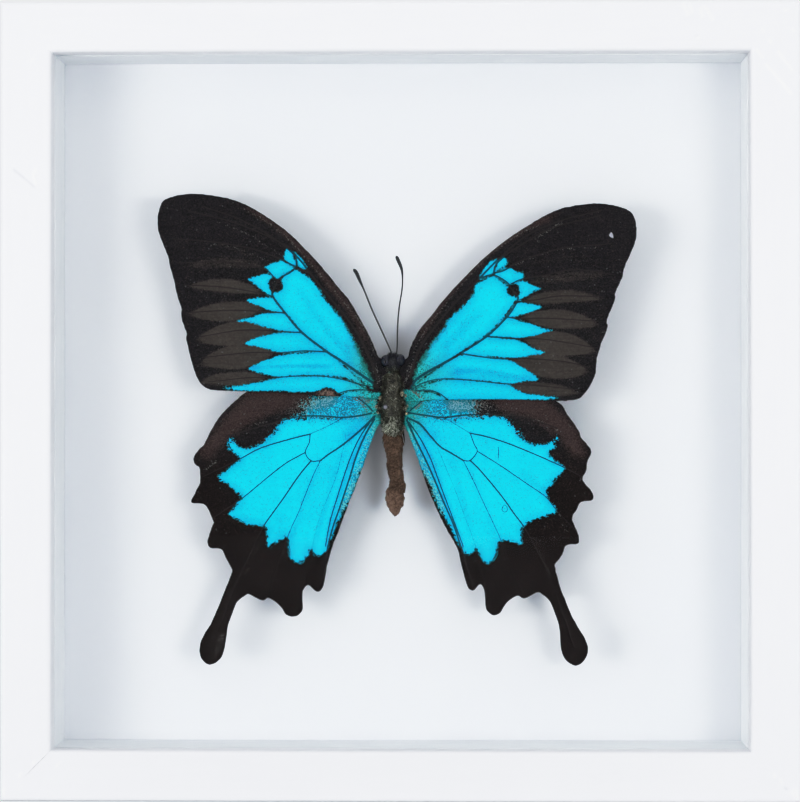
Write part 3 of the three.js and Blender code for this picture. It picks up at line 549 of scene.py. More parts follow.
HIND_R_BLUE = [
    [(3.2, -3), (7.1, -3.6), (11.5, -4.1), (15.2, -3.7), (19.8, -3.6), (23.7, -3.8),
     (26, -4.7), (27.8, -6.4), (29.4, -8.5), (31.7, -10), (34.3, -10.2), (35.9, -9.7),
     (37.3, -8.3), (37, -10.6), (35.4, -12.2), (36.6, -13.6), (39.1, -15.6), (37.3, -17.7),
     (35, -20.9), (35.6, -22.8), (37.3, -25.5), (34.7, -26.5), (31.3, -27.8), (29.4, -29.4),
     (29.2, -32.9), (26.7, -32.4), (24.4, -32.2), (23.7, -33.4), (23.2, -35.9),
     (21.6, -37.3), (20.2, -36.3), (19.1, -34.3), (18.2, -34.7), (17, -35.4), (15.6, -34),
     (14, -31.3), (12, -27.4), (9.9, -23.7), (8.1, -19.3), (6, -15.4), (3.9, -10.6),
     (2.3, -6.4), (1.4, -4.1)],
    [(3.2, -3.7), (7.1, -4.1), (11.5, -4.7), (15.6, -4.3), (17.9, -3.7), (18.4, 0),
     (12.9, 1.8), (4.1, 1.8), (2.8, -0.9)]]
HIND_R_VEINS = [
    (0.17, 0.1, 1, [(3.2, -2.9), (7.1, -3.5), (11.5, -4), (15.6, -3.5), (19.8, -3.3),
                    (24.4, -3.3), (30.1, -4), (37.3, -6.4)]),
    (0.15, 0.12, 0.9, [(3.7, -2.5), (5.3, -1.2), (7.1, 0.2)]),
    (0.12, 0.1, 0.6, [(11.5, -4.1), (14, -5.5), (17.5, -7.6)]),
    (0.13, 0.09, 0.95, [(17.5, -7.6), (20.9, -8.3), (25.5, -9.7), (31.3, -12), (35.9, -14),
                        (39.3, -15.6), (43.7, -17.9)]),
    (0.11, 0.12, 0.75, [(17.5, -7.6), (18.4, -10.1), (19.1, -11.7), (17.5, -13.8),
                        (15.9, -13.8)]),
    (0.12, 0.09, 0.75, [(19.1, -11.7), (24.4, -15), (30.1, -18.9), (34.7, -22.1),
                        (37.5, -25.5), (41.6, -29.9)]),
    (0.14, 0.09, 1, [(17.5, -13.8), (19.8, -16.1), (24.4, -21.6), (27.4, -25.8),
                     (29.9, -29.2), (33.1, -35), (35.9, -40.9), (38.6, -48.3), (41.2, -56.4)]),
    (0.22, 0.14, 1, [(3.2, -4.1), (6, -5.5), (8.3, -8.1), (10.6, -10.6), (12.9, -12),
                     (15.9, -13.8)]),
    (0.11, 0.08, 0.65, [(15.9, -13.8), (18.2, -18.4), (20.9, -24.2), (24.4, -31.7),
                        (27.1, -39.1), (29.2, -43.7)]),
    (0.11, 0.08, 0.5, [(10.1, -11), (12.2, -16.1), (14.3, -21.2), (16.6, -27.6),
                       (18.9, -34), (21.6, -46)]),
    (0.2, 0.12, 1, [(3, -4.6), (5.1, -9.2), (7.6, -14.3), (9.7, -19.1), (11.5, -23.5),
                    (13.6, -28.3), (15.4, -33.6), (17, -39.1), (17.9, -42.3)]),
    (0.14, 0.1, 0.85, [(3.5, -5.1), (6, -8.7), (8.3, -13.1), (10.1, -17.9), (12, -23),
                       (14, -28.3), (15.9, -33.4)]),
    (0.07, 0.07, 0.8, [(23.9, -10.8), (24, -12), (23.9, -13.1)]),
    (0.07, 0.07, 0.75, [(24.8, -24.6), (25.3, -24), (25.9, -24.5), (25.9, -25.3),
                        (25.3, -25.6), (24.8, -25.2), (24.8, -24.6)])]
HIND_R_SOFT = [
    (16.1, -1.2, 7, 3.2), (26.2, -4.8, 3.5, 1.4), (29, -7.8, 4, 1.8), (33.6, -10.3, 3, 1),
    (37, -8.7, 3, 1.4), (21.6, -37.3, 3, 0.9), (26.7, -32.4, 3, 0.8), (32.4, -27.6, 3, 0.6),
    (17.5, -35.2, 3, 0.7), (3.5, -4.1, 3, 1), (7.1, -13.8, 3, 0.4), (10.6, -21.9, 4, 0.7),
    (12.9, -27.1, 3, 0.7)]
HIND_R_DUST = [(3.2, 3), (12, 3), (20, 1.5), (22, -0.5), (23.6, -2.2), (17.5, -3.9),
               (10.6, -4.4), (3.2, -3)]

FORE_L_SPOT, FORE_R_SPOT = (-26.8, 26.1), (27.3, 25.1)
FORE_L_PALE = [
    (0.16, 0.9, [(-4.8, 8.7), (-4.4, 6.4), (-3.6, 3.7)]),
    (0.16, 0.8, [(-4, 8.5), (-3.7, 6.2), (-3, 3.9)]),
    (0.16, 0.55, [(-4.1, 8.7), (-5.1, 12.7), (-7.8, 17.9), (-11.3, 22.3), (-14.7, 26.2),
                  (-18.9, 31.1), (-23.9, 36.6), (-29, 40.9), (-35.4, 44.2)]),
    (0.2, 0.35, [(-42.8, 35.4), (-38.2, 35.2), (-33.1, 33.6), (-28.1, 31.5)]),
    (0.2, 0.3, [(-41.2, 40.9), (-35.4, 38.9), (-30.4, 36.1), (-25.1, 32.7)]),
    (0.3, 0.5, [(-32.2, 37.5), (-31.3, 37.5)]),
    (0.3, 0.35, [(-29.9, 34), (-28.1, 33.6)])]
FORE_R_PALE = [
    (0.16, 0.9, [(4.3, 8.7), (3.7, 6.2), (2.5, 3)]),
    (0.16, 0.8, [(3.6, 8.3), (3.1, 6), (2.2, 3.5)]),
    (0.16, 0.55, [(3.9, 9.2), (5.5, 13.1), (8.7, 17.9), (12.9, 23.2), (17.5, 28.5),
                  (22.1, 33.1), (27.8, 37.3), (33.6, 40)]),
    (0.28, 0.7, [(32.4, 36.8), (35, 38.4), (37.3, 39.8), (39.1, 40.9)]),
    (0.2, 0.35, [(26.7, 30.4), (32.4, 32.7), (38.2, 34.3), (47.4, 34.7)]),
    (0.25, 0.4, [(32.7, 36.1), (33.6, 36.3)]),
    (0.25, 0.4, [(40, 4.6), (40.7, 4.6)]),
    (0.25, 0.5, [(47.6, 15.9), (48.1, 15.2)])]
HIND_L_PALE = [
    (1.5, 0.75, [(-22.5, -1.6), (-18.2, -0.5), (-13.6, 0)]),
    (1.3, 0.52, [(-3.9, -5.5), (-5.8, -10.3), (-7.6, -15.2), (-9.7, -19.8)]),
    (0.8, 0.65, [(-8.7, -17.9), (-10.6, -22.1), (-12.2, -25.8)]),
    (0.3, 0.7, [(-43.5, -16.3), (-41.4, -14.7), (-40.5, -14)]),
    (0.2, 0.35, [(-28.5, -4.8), (-32.7, -5.8), (-37.7, -7.1)]),
    (0.2, 0.3, [(-30.4, -32.2), (-32.2, -35.9), (-34.5, -41.4)]),
    (0.8, 0.35, [(-39.3, -53.4), (-39.8, -56.1), (-41.2, -58.2)])]
HIND_R_PALE = [
    (1.5, 0.75, [(12.4, -1.2), (16.3, -1.2), (20.7, -1.6)]),
    (1.3, 0.52, [(3.2, -6.4), (5.1, -11.5), (7.4, -17), (9.2, -21.2)]),
    (0.8, 0.65, [(7.8, -17.5), (9.7, -21.6), (11.5, -25.8)]),
    (0.2, 0.4, [(23.7, -3.3), (30.1, -3.9), (35.4, -5.5)]),
    (0.2, 0.35, [(37.7, -25.5), (38.6, -28.5), (40, -30.8)]),
    (0.2, 0.35, [(31.3, -30.4), (33.6, -35), (35.9, -40.2)]),
    (0.3, 0.4, [(36.3, -7.4), (37.5, -6.7)])]
# Brown front border of a hindwing, painted shade along the blue's folds, and pale worn places.
HIND_L_BROWN = [(-14, 4), (-30, 3), (-37, -2), (-41.5, -7.5), (-44.5, -12), (-42, -13),
                (-37.5, -8.6), (-30, -4), (-24, -2), (-17, 1.5)]
HIND_R_BROWN = [(20, 3), (32, 1.5), (38, -2.6), (42, -7.4), (44, -12.5), (41, -12.6),
                (37.2, -8), (31, -4.2), (24, -2)]
FORE_L_BORDER = [
    (1.1, 0.7, [(-5.8, 12.7), (-7.8, 17), (-11, 21.9), (-15, 26.9), (-19.1, 32),
                (-23.2, 36.6), (-28.1, 40.9), (-34.3, 44.4)])]
FORE_R_BORDER = [
    (1.1, 0.7, [(5.3, 13.1), (7.6, 17), (10.8, 21.9), (15, 26.9), (19.6, 31.7),
                (24.6, 35.9), (30.4, 39.3), (37.3, 42.3)])]
# Lines of painted shade along the folds of the blue: half width, strength, then the line.
FORE_L_FOLD_SHADE = [
    (0.5, 0.9, [(-33.1, 7.2), (-27.4, 7.6), (-21.6, 7.8), (-14.3, 7.7)]),
    (1.3, 0.45, [(-6.4, 3.9), (-9.7, 8.3), (-11, 12.4)]),
    (0.9, 0.4, [(-21.6, 25.3), (-17, 18.4), (-11.3, 11.5)])]
FORE_R_FOLD_SHADE = [
    (0.9, 0.75, [(32.9, 4.7), (27.8, 5.2), (23.2, 6), (17.5, 6.7), (12.9, 6.4)]),
    (1.1, 0.4, [(10.6, 11), (14, 14.3), (19.8, 20.2)]),
    (0.9, 0.45, [(6.9, 6.2), (10.1, 9.2), (12.9, 11.5)])]
HIND_L_FOLD_SHADE = [
    (1.7, 0.6, [(-5.3, -4.1), (-8.5, -6.7), (-11.3, -9.2)]),
    (0.8, 0.6, [(-6, -6.9), (-9.7, -14.3), (-12.9, -23), (-15.2, -31.1)]),
    (0.8, 0.35, [(-11.3, -11.5), (-14.7, -20.7), (-17.9, -32.2)]),
    (0.8, 0.35, [(-17, -14.5), (-20.5, -23), (-23.5, -32.2)])]
HIND_R_FOLD_SHADE = [
    (1.7, 0.5, [(4.1, -4.6), (7.4, -7.4), (10.1, -9.2)]),
    (0.9, 0.65, [(6, -8.5), (9, -15.4), (12.2, -24.2), (15.2, -32.2)]),
    (0.8, 0.35, [(12.9, -12.7), (15.2, -20.7), (17.9, -31.1)]),
    (0.8, 0.35, [(16.6, -14.5), (19.8, -21.9), (23.5, -31.1)]),
    (0.8, 0.4, [(29, -16.1), (34.7, -21.2)])]
FORE_L_WORN = [
    (0.75, 1, [(-17, 1.3), (-15.4, 1.6), (-13.3, 1)]),
    (0.2, 0.5, [(-8.5, 0.9), (-7.1, 0.6), (-5.3, 0.8)])]
FORE_R_WORN = [
    (0.32, 0.8, [(3.9, 2.1), (5.4, 1.4), (6.7, 0.1)])]
HIND_L_WORN = [
    (0.6, 0.7, [(-9.2, 0.5), (-7.1, -0.1), (-5.1, -0.2)]),
    (0.3, 0.6, [(-8.1, 0.1), (-6.9, -1.2), (-6, -2.5)])]
HIND_R_WORN = [
    (0.32, 0.8, [(6.7, 0), (5.8, -1.2), (4.7, -2.2)])]
FORE_R_HOLE = [(49.1, 37.5), (49.6, 38.2), (50, 37.7), (50.1, 36.9), (49.6, 37)]

# ---- Body, in specimen millimetres -----------------------------------------------------
# Rings of the thorax, front to back: z, x, y, half width.
THORAX_RINGS = [(7.0, -0.1, 0.9, 0), (6.4, -0.1, 1.0, 1.4), (5.4, -0.15, 1.0, 2.0),
                (3.8, -0.25, 1.0, 2.4), (1.6, -0.3, 1.1, 2.65), (-0.8, -0.3, 1.2, 2.75),
                (-3.2, -0.3, 1.3, 2.7), (-5.2, -0.2, 1.3, 2.4), (-6.8, -0.1, 1.3, 1.95),
                (-7.8, -0.1, 1.3, 1.3), (-8.2, -0.1, 1.3, 0)]
# Rings of the abdomen from the waist to the tip: z, x, y, half width, half depth.
ABDOMEN_RINGS = [(-5.6, -0.2, 1.4, 0, 0), (-5.8, -0.2, 1.4, 1.7, 1.9),
                 (-7.4, -0.2, 1.4, 2.1, 2.2), (-8.4, -0.2, 1.5, 2.15, 2.3),
                 (-10.2, -0.05, 1.5, 2.2, 2.4), (-11.6, 0.15, 1.6, 1.85, 2.5),
                 (-13.2, 0.15, 1.6, 1.75, 2.5), (-14.9, 0.2, 1.7, 1.7, 2.5),
                 (-16.6, 0.45, 1.8, 1.65, 2.45), (-17.9, 0.6, 1.9, 1.55, 2.4),
                 (-19.2, 0.75, 2.0, 1.8, 2.3), (-20.2, 0.75, 2.1, 1.75, 2.2),
                 (-21.3, 0.3, 2.2, 2.1, 2.1), (-22.7, 0.25, 2.4, 2.05, 1.95),
                 (-24.2, 0.25, 2.6, 1.7, 1.6), (-25.4, 0.28, 2.7, 1.1, 1.1),
                 (-26.3, 0.3, 2.8, 0.5, 0.5), (-26.8, 0.3, 2.85, 0, 0)]
ABDOMEN_JOINTS = (-8.0, -10.9, -13.3, -15.9, -18.1, -20.6, -24.8)
# Legs of one side: each is its thigh and shin, from the thorax outwards.
LEGS = [
    [[(1.1, 3.6, 3.2), (2, 5.5, 4.6), (1.4, 6.2, 7.6)], [(1.4, 6.2, 7.6), (0.8, 5.6, 10.4)]],
    [[(1.3, 4, -0.6), (2.6, 6.1, -2.2), (2, 6.6, -6.4)], [(2, 6.6, -6.4), (2.6, 6, -10.2)]],
    [[(1.1, 3.8, -3.6), (1.9, 5.8, -6.2), (1.1, 6.4, -10.4)],
     [(1.1, 6.4, -10.4), (1.5, 5.8, -14.6)]]]
# Horny knobs where the wings join the thorax: x, y, z and radius.
WING_JOINTS = [(-3.9, -0.3, -1.5, 0.32), (-3.0, -0.7, 0.4, 0.42), (-3.6, -0.3, -2.9, 0.28),
               (-3.1, -0.6, -2.0, 0.3), (2.0, -1.7, 1.4, 0.5), (2.6, -1.0, -1.9, 0.45),
               (3.2, -0.6, -1.4, 0.28), (2.9, -0.5, -3.1, 0.3), (2.8, -0.7, 0.9, 0.3)]
# Antennae, from the head to the tip of the club.
ANTENNA_L = [(-0.35, -0.6, 10.2), (-0.8, -0.95, 11.6), (-2.7, -1.2, 15.8), (-4.9, -1.3, 20.6),
             (-6.6, -1.35, 24.8), (-7.7, -1.4, 27.3), (-8.4, -1.4, 28.9), (-9.15, -1.4, 29.9)]
ANTENNA_R = [(0.65, -0.6, 10.2), (0.85, -0.95, 12.4), (0.95, -1.2, 16.8), (1.3, -1.3, 21),
             (1.95, -1.35, 25.2), (2.05, -1.4, 28.2), (1.75, -1.4, 30.2), (0.6, -1.4, 32.9)]

# ---- Paint, in millimetres of the frame ------------------------------------------------
# Ridges and grooves in the paint: x, z at both ends, half width, height; millimetres.
PAINT_RIDGES = [
    (63.6, 179.1, 64.6, 176.6, 0.3, 0.09), (65.0, 179.0, 65.5, 177.2, 0.3, 0.08),
    (67.4, 178.1, 67.9, 176.2, 0.3, 0.08), (68.3, 178.5, 70.2, 175.7, 0.35, 0.1),
    (84.8, 168.2, 87.9, 164.1, 0.3, 0.09), (82.2, 165.4, 87.6, 158.9, 0.32, 0.1),
    (79.9, 168.8, 81.3, 167.0, 0.28, 0.07), (66.8, 171.6, 66.95, 171.4, 0.3, 0.08),
    (86.2, 177.7, 86.7, 177.5, 0.3, 0.08), (88.0, 173.5, 88.3, 172.9, 0.3, 0.07),
    (82.8, 171.0, 83.1, 170.4, 0.3, 0.08), (81.2, 173.6, 81.4, 172.8, 0.3, 0.05),
    (-82.0, 142.3, -82.6, 140.7, 0.3, 0.08), (-82.6, 140.7, -82.0, 139.0, 0.3, 0.08),
    (-76.6, 8.8, -77.3, 7.7, 0.3, 0.05), (-82.2, 9.0, -82.7, 8.3, 0.3, 0.08),
    (-85.3, 6.2, -85.6, 5.7, 0.3, 0.08), (-89.4, 2.6, -89.5, 1.6, 0.5, 0.08),
    (83.7, 6.4, 83.9, 5.8, 0.3, 0.07), (85.2, 5.2, 85.4, 4.4, 0.3, 0.06),
    (88.3, 2.2, 88.9, 1.5, 0.85, 0.1), (-83.2, 166.6, -82.4, 167.2, 0.35, 0.05)]
PAINT_GROOVES = [
    (-86.9, 142.1, -84.8, 140.4, 0.32, 0.1), (-84.8, 140.4, -82.4, 138.3, 0.28, 0.08),
    (86.2, 3.3, 86.5, 3.1, 0.3, 0.1), (66.5, 172.0, 66.6, 171.8, 0.25, 0.07)]
# The open stretch of the lower left mitre, as distances from the outer corner.
MITRE_CRACK = (5.4, 11.2)


# ---- Markings as numbers over a wing ---------------------------------------------------
def leaf_field(points, leaves):
    """How strongly spindle-shaped marks cover each point, 0 to 1."""
    field = np.zeros(len(points))
    for half_width, strength, line in leaves:
        gap, along = distance_to(points, curve_points(line, LINE_STEP))
        reach = half_width * np.sin(math.pi * along**0.9)**0.8
        fade = np.minimum(1, 0.3 + np.minimum(along, 1 - along) / 0.22)
        cover = np.clip(0.5 + (reach - gap) / 0.7, 0, 1)
        field = np.maximum(field, strength * fade * cover)
    return field


def line_field(points, lines):
    """How strongly soft-edged lines cover each point, 0 to 1."""
    field = np.zeros(len(points))
    for half_width, strength, line in lines:
        gap, along = distance_to(points, curve_points(line, LINE_STEP))
        ends = np.clip(np.minimum(along, 1 - along) / 0.12 + 0.35, 0, 1)
        field = np.maximum(field, strength * ends * np.clip(1.35 - gap / half_width, 0, 1))
    return field


def patch_field(points, patch, softness):
    """1 inside a patch, 0 outside it, with an edge as wide as the softness."""
    edge = curve_points(patch, 0.4, closed=True)
    return np.clip(0.5 + depth_inside(points, edge) / softness, 0, 1)


def soft_field(points, zones, least):
    """How far a colour edge breaks up into loose scales, in millimetres."""
    field = np.full(len(points), least)
    for x, z, reach, softness in zones:
        gap = np.hypot(points[:, 0] - x, points[:, 1] - z)
        field = np.maximum(field, softness * np.clip(1.3 - gap / reach, 0, 1))
    return field


# ---- Wing meshes -----------------------------------------------------------------------
def wing_points(outline, veins, hole, grain):
    """Mesh points of one wing: its rim, rows along the veins, and a fill between."""
    rim = curve_points(outline, grain * 0.8, closed=True)
    sway = rng.normal(0, 1, len(rim))
    sway = np.convolve(np.tile(sway, 3), np.ones(3) / 3, "same")[len(rim):2 * len(rim)]
    normal = np.roll(rim, -1, axis=0) - np.roll(rim, 1, axis=0)
    normal = normal[:, ::-1] * [1, -1] / np.linalg.norm(normal, axis=1)[:, None]
    rim = rim + normal * (sway * 0.055)[:, None]
    rows = []
    for root, tip, _, line in veins:
        middle = curve_points(line, grain)
        step = np.gradient(middle, axis=0)
        across = step[:, ::-1] * [1, -1] / np.linalg.norm(step, axis=1)[:, None]
        reach = np.linspace(root, tip, len(middle))[:, None] * VEIN_FLARE + VEIN_EDGE
        rows.extend([middle, middle + across * reach, middle - across * reach])
    rows = [row[depth_inside(row, rim) > 0.25] for row in rows]
    if hole is not None:
        rows = [row[depth_inside(row, hole) < -0.15] for row in rows]
    low, high = rim.min(0), rim.max(0)
    xs = np.arange(low[0], high[0], grain)
    zs = np.arange(low[1], high[1], grain * 0.866)
    grid = np.array([(x + (k % 2) * grain / 2, z) for k, z in enumerate(zs) for x in xs])
    grid += rng.uniform(-0.12, 0.12, grid.shape) * grain
    grid = grid[depth_inside(grid, rim) > grain * 0.5]
    if hole is not None:
        grid = grid[depth_inside(grid, hole) < -grain * 0.4]
    taken = np.vstack(rows)
    keep = np.ones(len(grid), dtype=bool)
    for start in range(0, len(grid), 1000):
        chunk = grid[start:start + 1000, None, :]
        near = taken[np.abs(taken[:, 1] - chunk[:, 0, 1].mean()) < 6]
        keep[start:start + 1000] = np.linalg.norm(chunk - near, axis=-1).min(1) > grain * 0.55
    return rim, rows, grid[keep]


def wing_mesh(outline, veins, hole, grain):
    """Flat triangles over a wing, and its borders as ordered pairs of points."""
    if hole:
        hole = curve_points(hole, grain * 0.6, closed=True)
    rim, rows, fill = wing_points(outline, veins, hole, grain)
    points, edges = [], []
    for ring in [rim] if hole is None else [rim, hole]:
        start = len(points)
        points.extend(map(tuple, ring))
        edges.extend((start + i, start + (i + 1) % len(ring)) for i in range(len(ring)))
    for row in rows:
        start = len(points)
        points.extend(map(tuple, row))
        gaps = np.linalg.norm(np.diff(row, axis=0), axis=1)
        edges.extend((start + i, start + i + 1) for i, g in enumerate(gaps) if g < grain * 1.6)
    points.extend(map(tuple, fill))
    vertices, _, faces, _, _, _ = geometry.delaunay_2d_cdt(
        [Vector(p) for p in points], edges, [], 1, 1e-5)
    flat = np.array([(v.x, v.y) for v in vertices])
    faces = [tuple(face) for face in faces]
    if hole is not None:
        middles = flat[np.array(faces)].mean(1)
        faces = [face for face, gone in zip(faces, inside(middles, hole)) if not gone]
    sides = {}
    for a, b, c in faces:
        for pair in ((a, b), (b, c), (c, a)):
            sides[pair] = True
    border = [pair for pair in sides if (pair[1], pair[0]) not in sides]
    return flat, faces, border


def wing_relief(flat, veins, seed):
    """Height of a wing's surface over its smooth sheet: raised veins, sagging membrane."""
    nearest = np.full(len(flat), 9.0)
    height = np.zeros(len(flat))
    for root, tip, _, line in veins:
        gap, along = distance_to(flat, curve_points(line, LINE_STEP))
        half = root + (tip - root) * along
        nearest = np.minimum(nearest, gap)
        height = np.maximum(height, (0.05 + 0.45 * half) * np.exp(-(gap / (half + 0.08))**2))
    sag = 1 - np.exp(-(nearest / 1.6)**2)
    waves = np.random.default_rng(seed).uniform(0, 2 * math.pi, (6, 2))
    sway = np.zeros(len(flat))
    for k, (turn, phase) in enumerate(waves):
        pitch = 2 * math.pi / (9 + 4 * k)
        sway += np.sin((flat[:, 0] * math.cos(turn) + flat[:, 1] * math.sin(turn)) * pitch
                       + phase) * (0.05 + 0.02 * k)
    return height - 0.16 * sag + 0.6 * sway


def wing_fields(flat, marks):
    """The markings as numbers at each mesh point, by attribute name."""
    blue = np.full(len(flat), -9.0)
    for patch in marks["blue"]:
        blue = np.maximum(blue, depth_inside(flat, curve_points(patch, 0.4, closed=True)))
    for x, z, radius in marks.get("spots", ()):
        blue = np.minimum(blue, np.hypot(flat[:, 0] - x, flat[:, 1] - z) - radius)
    vein = np.zeros(len(flat))
    for start, tip, strength, line in marks["veins"]:
        gap, along = distance_to(flat, curve_points(line, LINE_STEP))
        half = (start + (tip - start) * along) * VEIN_FLARE + VEIN_EDGE
        vein = np.maximum(vein, strength * np.clip(1 - gap / half, 0, 1))
    if "brown" in marks:
        soft, scatter = soft_field(flat, marks["soft"], 0.8), np.full(len(flat), 0.16)
    else:
        fade = soft_field(flat, marks["soft"], 0.6)
        soft, scatter = np.minimum(fade, 0.9) - 0.2, 0.16 + 0.85 * np.maximum(0, fade - 0.7)
    fields = {"blue": blue, "vein": vein, "soft": soft, "spread": scatter,
              "streak": leaf_field(flat, marks.get("streaks", ())),
              "fold_shade": line_field(flat, marks["fold_shade_lines"]),
              "pale": line_field(flat, marks["pale"]),
              "worn": line_field(flat, marks["worn"]),
              "brown": line_field(flat, marks.get("border", ()))}
    fields["dust"] = np.zeros(len(flat))
    if "brown" in marks:
        fields["dust"] = patch_field(flat, marks["dust"], 3)
        fields["brown"] = patch_field(flat, marks["brown"], 3)
    from_root = np.hypot(flat[:, 0], flat[:, 1] - marks["root"])
    fields["base"] = np.clip(1.25 - from_root / marks["base_reach"], 0, 1)
    return fields


def make_wing(name, marks, material, layer, seed):
    """A thin closed sheet with raised veins, its markings kept as numbers on its points."""
    veins = marks["veins"]
    flat, faces, border = wing_mesh(marks["outline"], veins, marks.get("hole"), WING_GRAIN)
    relief = wing_relief(flat, veins, seed)
    root = np.clip(np.abs(flat[:, 0]) / 6, 0, 1)
    depth = layer - WING_RISE * (flat[:, 0] / WING_REACH)**2 - relief * root
    top = np.column_stack([flat[:, 0], depth, flat[:, 1]])
    count = len(top)
    under = top + [0, WING_SKIN, 0]
    closed = list(faces)
    closed += [(c + count, b + count, a + count) for a, b, c in faces]
    closed += [(b, a, a + count, b + count) for a, b in border]
    piece = make_piece(name, in_frame(np.vstack([top, under])), closed, material,
                       [name.removesuffix("_scales")])
    for key, values in wing_fields(flat, marks).items():
        add_attribute(piece, key, np.concatenate([values, values]))
    add_attribute(piece, "under", np.repeat([0.0, 1.0], count))


# ---- Wing finish -----------------------------------------------------------------------
class WingFinish(Finish):
    """The wings' scales, with the grains and marking fields that their colours share."""

    def __init__(self):
        super().__init__("wing_scales")
        self.grain, self.coarse, self.sparse = map(self.cells, (5200, 2200, 3600))
        self.cloud, self.slow = self.noise(170, 3, 0.6), self.noise(60, 2)
        self.combed = self.noise(1.0, 3, 0.6, self.stretched((260, 300, 2400)))
        self.blue, self.base = self.attribute("blue"), self.attribute("base")
        self.dusty, self.pale = self.attribute("dust"), self.attribute("pale")
        self.deep = (self.blue * 0.5).least(1)
        loose = (self.grain * 0.4 + self.coarse * 0.6 - 0.5) * 1.6
        broken = self.blue + (loose * 0.8 + self.cloud - 0.5) * self.attribute("soft")
        self.edge = broken / self.attribute("spread")
        self.is_blue = self.edge.rise(-0.55, 0.2)

    def blue_scales(self):
        """Cyan, deeper towards the body, with painted shade along the folds."""
        inward = 1 - (self.axes()[0] - SPECIMEN_X * MM).size().rise(3 * MM, 24 * MM)
        # Painted shade along the fold lines, added to a random tone and a deeper blue towards
        # the body.
        tone_and_fold_shade = (self.grain - 0.5) * 0.25 + (self.cloud - 0.5) * 0.3 + (self.slow - 0.5) * 0.5
        tone_and_fold_shade = tone_and_fold_shade + (self.combed - 0.5) * 0.3 + self.attribute("fold_shade") * 0.5 + inward * 0.25
        cyan = self.blend(self.deep, (0.0, 0.41, 0.57), (0.0, 0.54, 0.70))
        return self.blend(tone_and_fold_shade.rise(-0.25, 1.0), cyan, (0.0, 0.27, 0.46))

    def dulled_blue(self, bright):
        """The blue where it is dusted, and green and sooty near the wing's root."""
        dull = self.dusty * 0.8 + self.pale.rise(0.1, 0.5) * 0.9 + (self.grain - 0.5) * 1.2
        grey = self.blend(self.dusty, (0.006, 0.17, 0.20), (0.014, 0.12, 0.14))
        bright = self.blend(dull.rise(0.35, 0.85) * 0.75, bright, grey)
        green = (self.base + (self.cloud - 0.5) * 0.6).rise(0.15, 0.9) * 0.8
        bright = self.blend(green, bright, (0.025, 0.36, 0.31))
        soot = self.base * 0.4 + (self.grain - 0.5) * 1.0 + (self.cloud - 0.5) * 0.5
        soot = soot.rise(0.4, 0.65) * self.base.rise(0.35, 0.85)
        bright = self.blend(soot * 0.7, bright, (0.010, 0.055, 0.052))
        return self.blend(self.edge.rise(-0.4, 1.3), (0.014, 0.13, 0.11), bright)

    def dark_scales(self):
        """Black, warmer low down, with the felted streaks and the brown front border."""
        low = 1 - self.axes()[2].rise((SPECIMEN_Z - 20) * MM, (SPECIMEN_Z - 2) * MM)
        tiny = (self.grain * 0.6 + self.combed * 0.4).rise(0.1, 0.9)
        cold = self.blend(tiny, (0.0045, 0.004, 0.005), (0.024, 0.0205, 0.024))
        warm = self.blend(tiny, (0.0035, 0.0020, 0.0020), (0.0165, 0.0105, 0.0105))
        black = self.blend(low, cold, warm)
        felt = self.attribute("streak") + (self.combed - 0.5) * 0.6 + (self.grain - 0.5) * 0.35
        felted = self.blend(self.combed * 0.7 + self.coarse * 0.3,
                            (0.032, 0.026, 0.023), (0.078, 0.066, 0.060))
        black = self.blend(felt.rise(0.15, 0.85), black, felted)
        brown = self.attribute("brown") + (self.cloud - 0.5) * 0.6 + (self.grain - 0.5) * 0.4
        brownish = self.blend(tiny, (0.030, 0.018, 0.0175), (0.066, 0.044, 0.042))
        return self.blend(brown.rise(0.15, 0.95), black, brownish)

    def worn(self, colour):
        """Bare brown membrane where the scales have rubbed off."""
        rubbed = (self.attribute("worn") + (self.grain - 0.5) * 0.9).rise(0.35, 0.7)
        bare = self.blend(self.coarse, (0.05, 0.034, 0.03), (0.23, 0.155, 0.125))
        return self.blend(rubbed * 0.9, colour, bare)

    def dusted(self, colour):
        """Pale loose scales, thick along the pale lines and single elsewhere."""
        pale = self.dusty * (1 - self.deep.rise(0.1, 0.9)) * (0.3 + self.cloud * 0.4)
        pale = self.pale.most(pale)
        light = (pale + (self.grain - 0.5) * 1.3 + (self.sparse - 0.5) * 0.5).rise(0.62, 0.95)
        on_blue = self.blend(self.dusty, (0.17, 0.47, 0.46), (0.22, 0.36, 0.38))
        whitish = self.blend(self.is_blue, (0.17, 0.165, 0.155), on_blue)
        colour = self.blend(light * pale.rise(0.0, 0.3) * 0.8, colour, whitish)
        stray = self.sparse.rise(0.992, 0.999) * (1 - self.is_blue)
        return self.blend(stray * 0.4, colour, (0.16, 0.165, 0.17))

    def veined(self, colour, vein):
        """Dark veins, bluer where they cross the blue."""
        dark = self.blend(self.is_blue, (0.027, 0.0225, 0.0225), (0.003, 0.045, 0.072))
        return self.blend(vein * 0.92, colour, dark)


def wing_finish():
    """Blue and black scales, felted brown streaks, dusted bases and dark veins."""
    f = WingFinish()
    vein = (f.attribute("vein") + (f.grain - 0.5) * 0.12).rise(0.30, 0.62)
    colour = f.blend(f.is_blue, f.dark_scales(), f.dulled_blue(f.blue_scales()))
    colour = f.veined(f.dusted(f.worn(colour)), vein)
    under = f.blend(f.is_blue, (0.022, 0.016, 0.014), (0.05, 0.042, 0.04))
    colour = f.blend(f.attribute("under").rise(0.4, 0.6), colour, under)
    height = f.grain * 0.5 + f.cells(1900) * 0.3 + f.noise(700, 3) * 0.6
    return f.done(f.principled({
        "Base Color": colour, "Roughness": 0.72 - f.is_blue * 0.2,
        "Metallic": f.is_blue * (1 - vein) * 0.3, "Specular IOR Level": 0.15,
        "Normal": f.bump(height, 0.00006, 0.6)}))


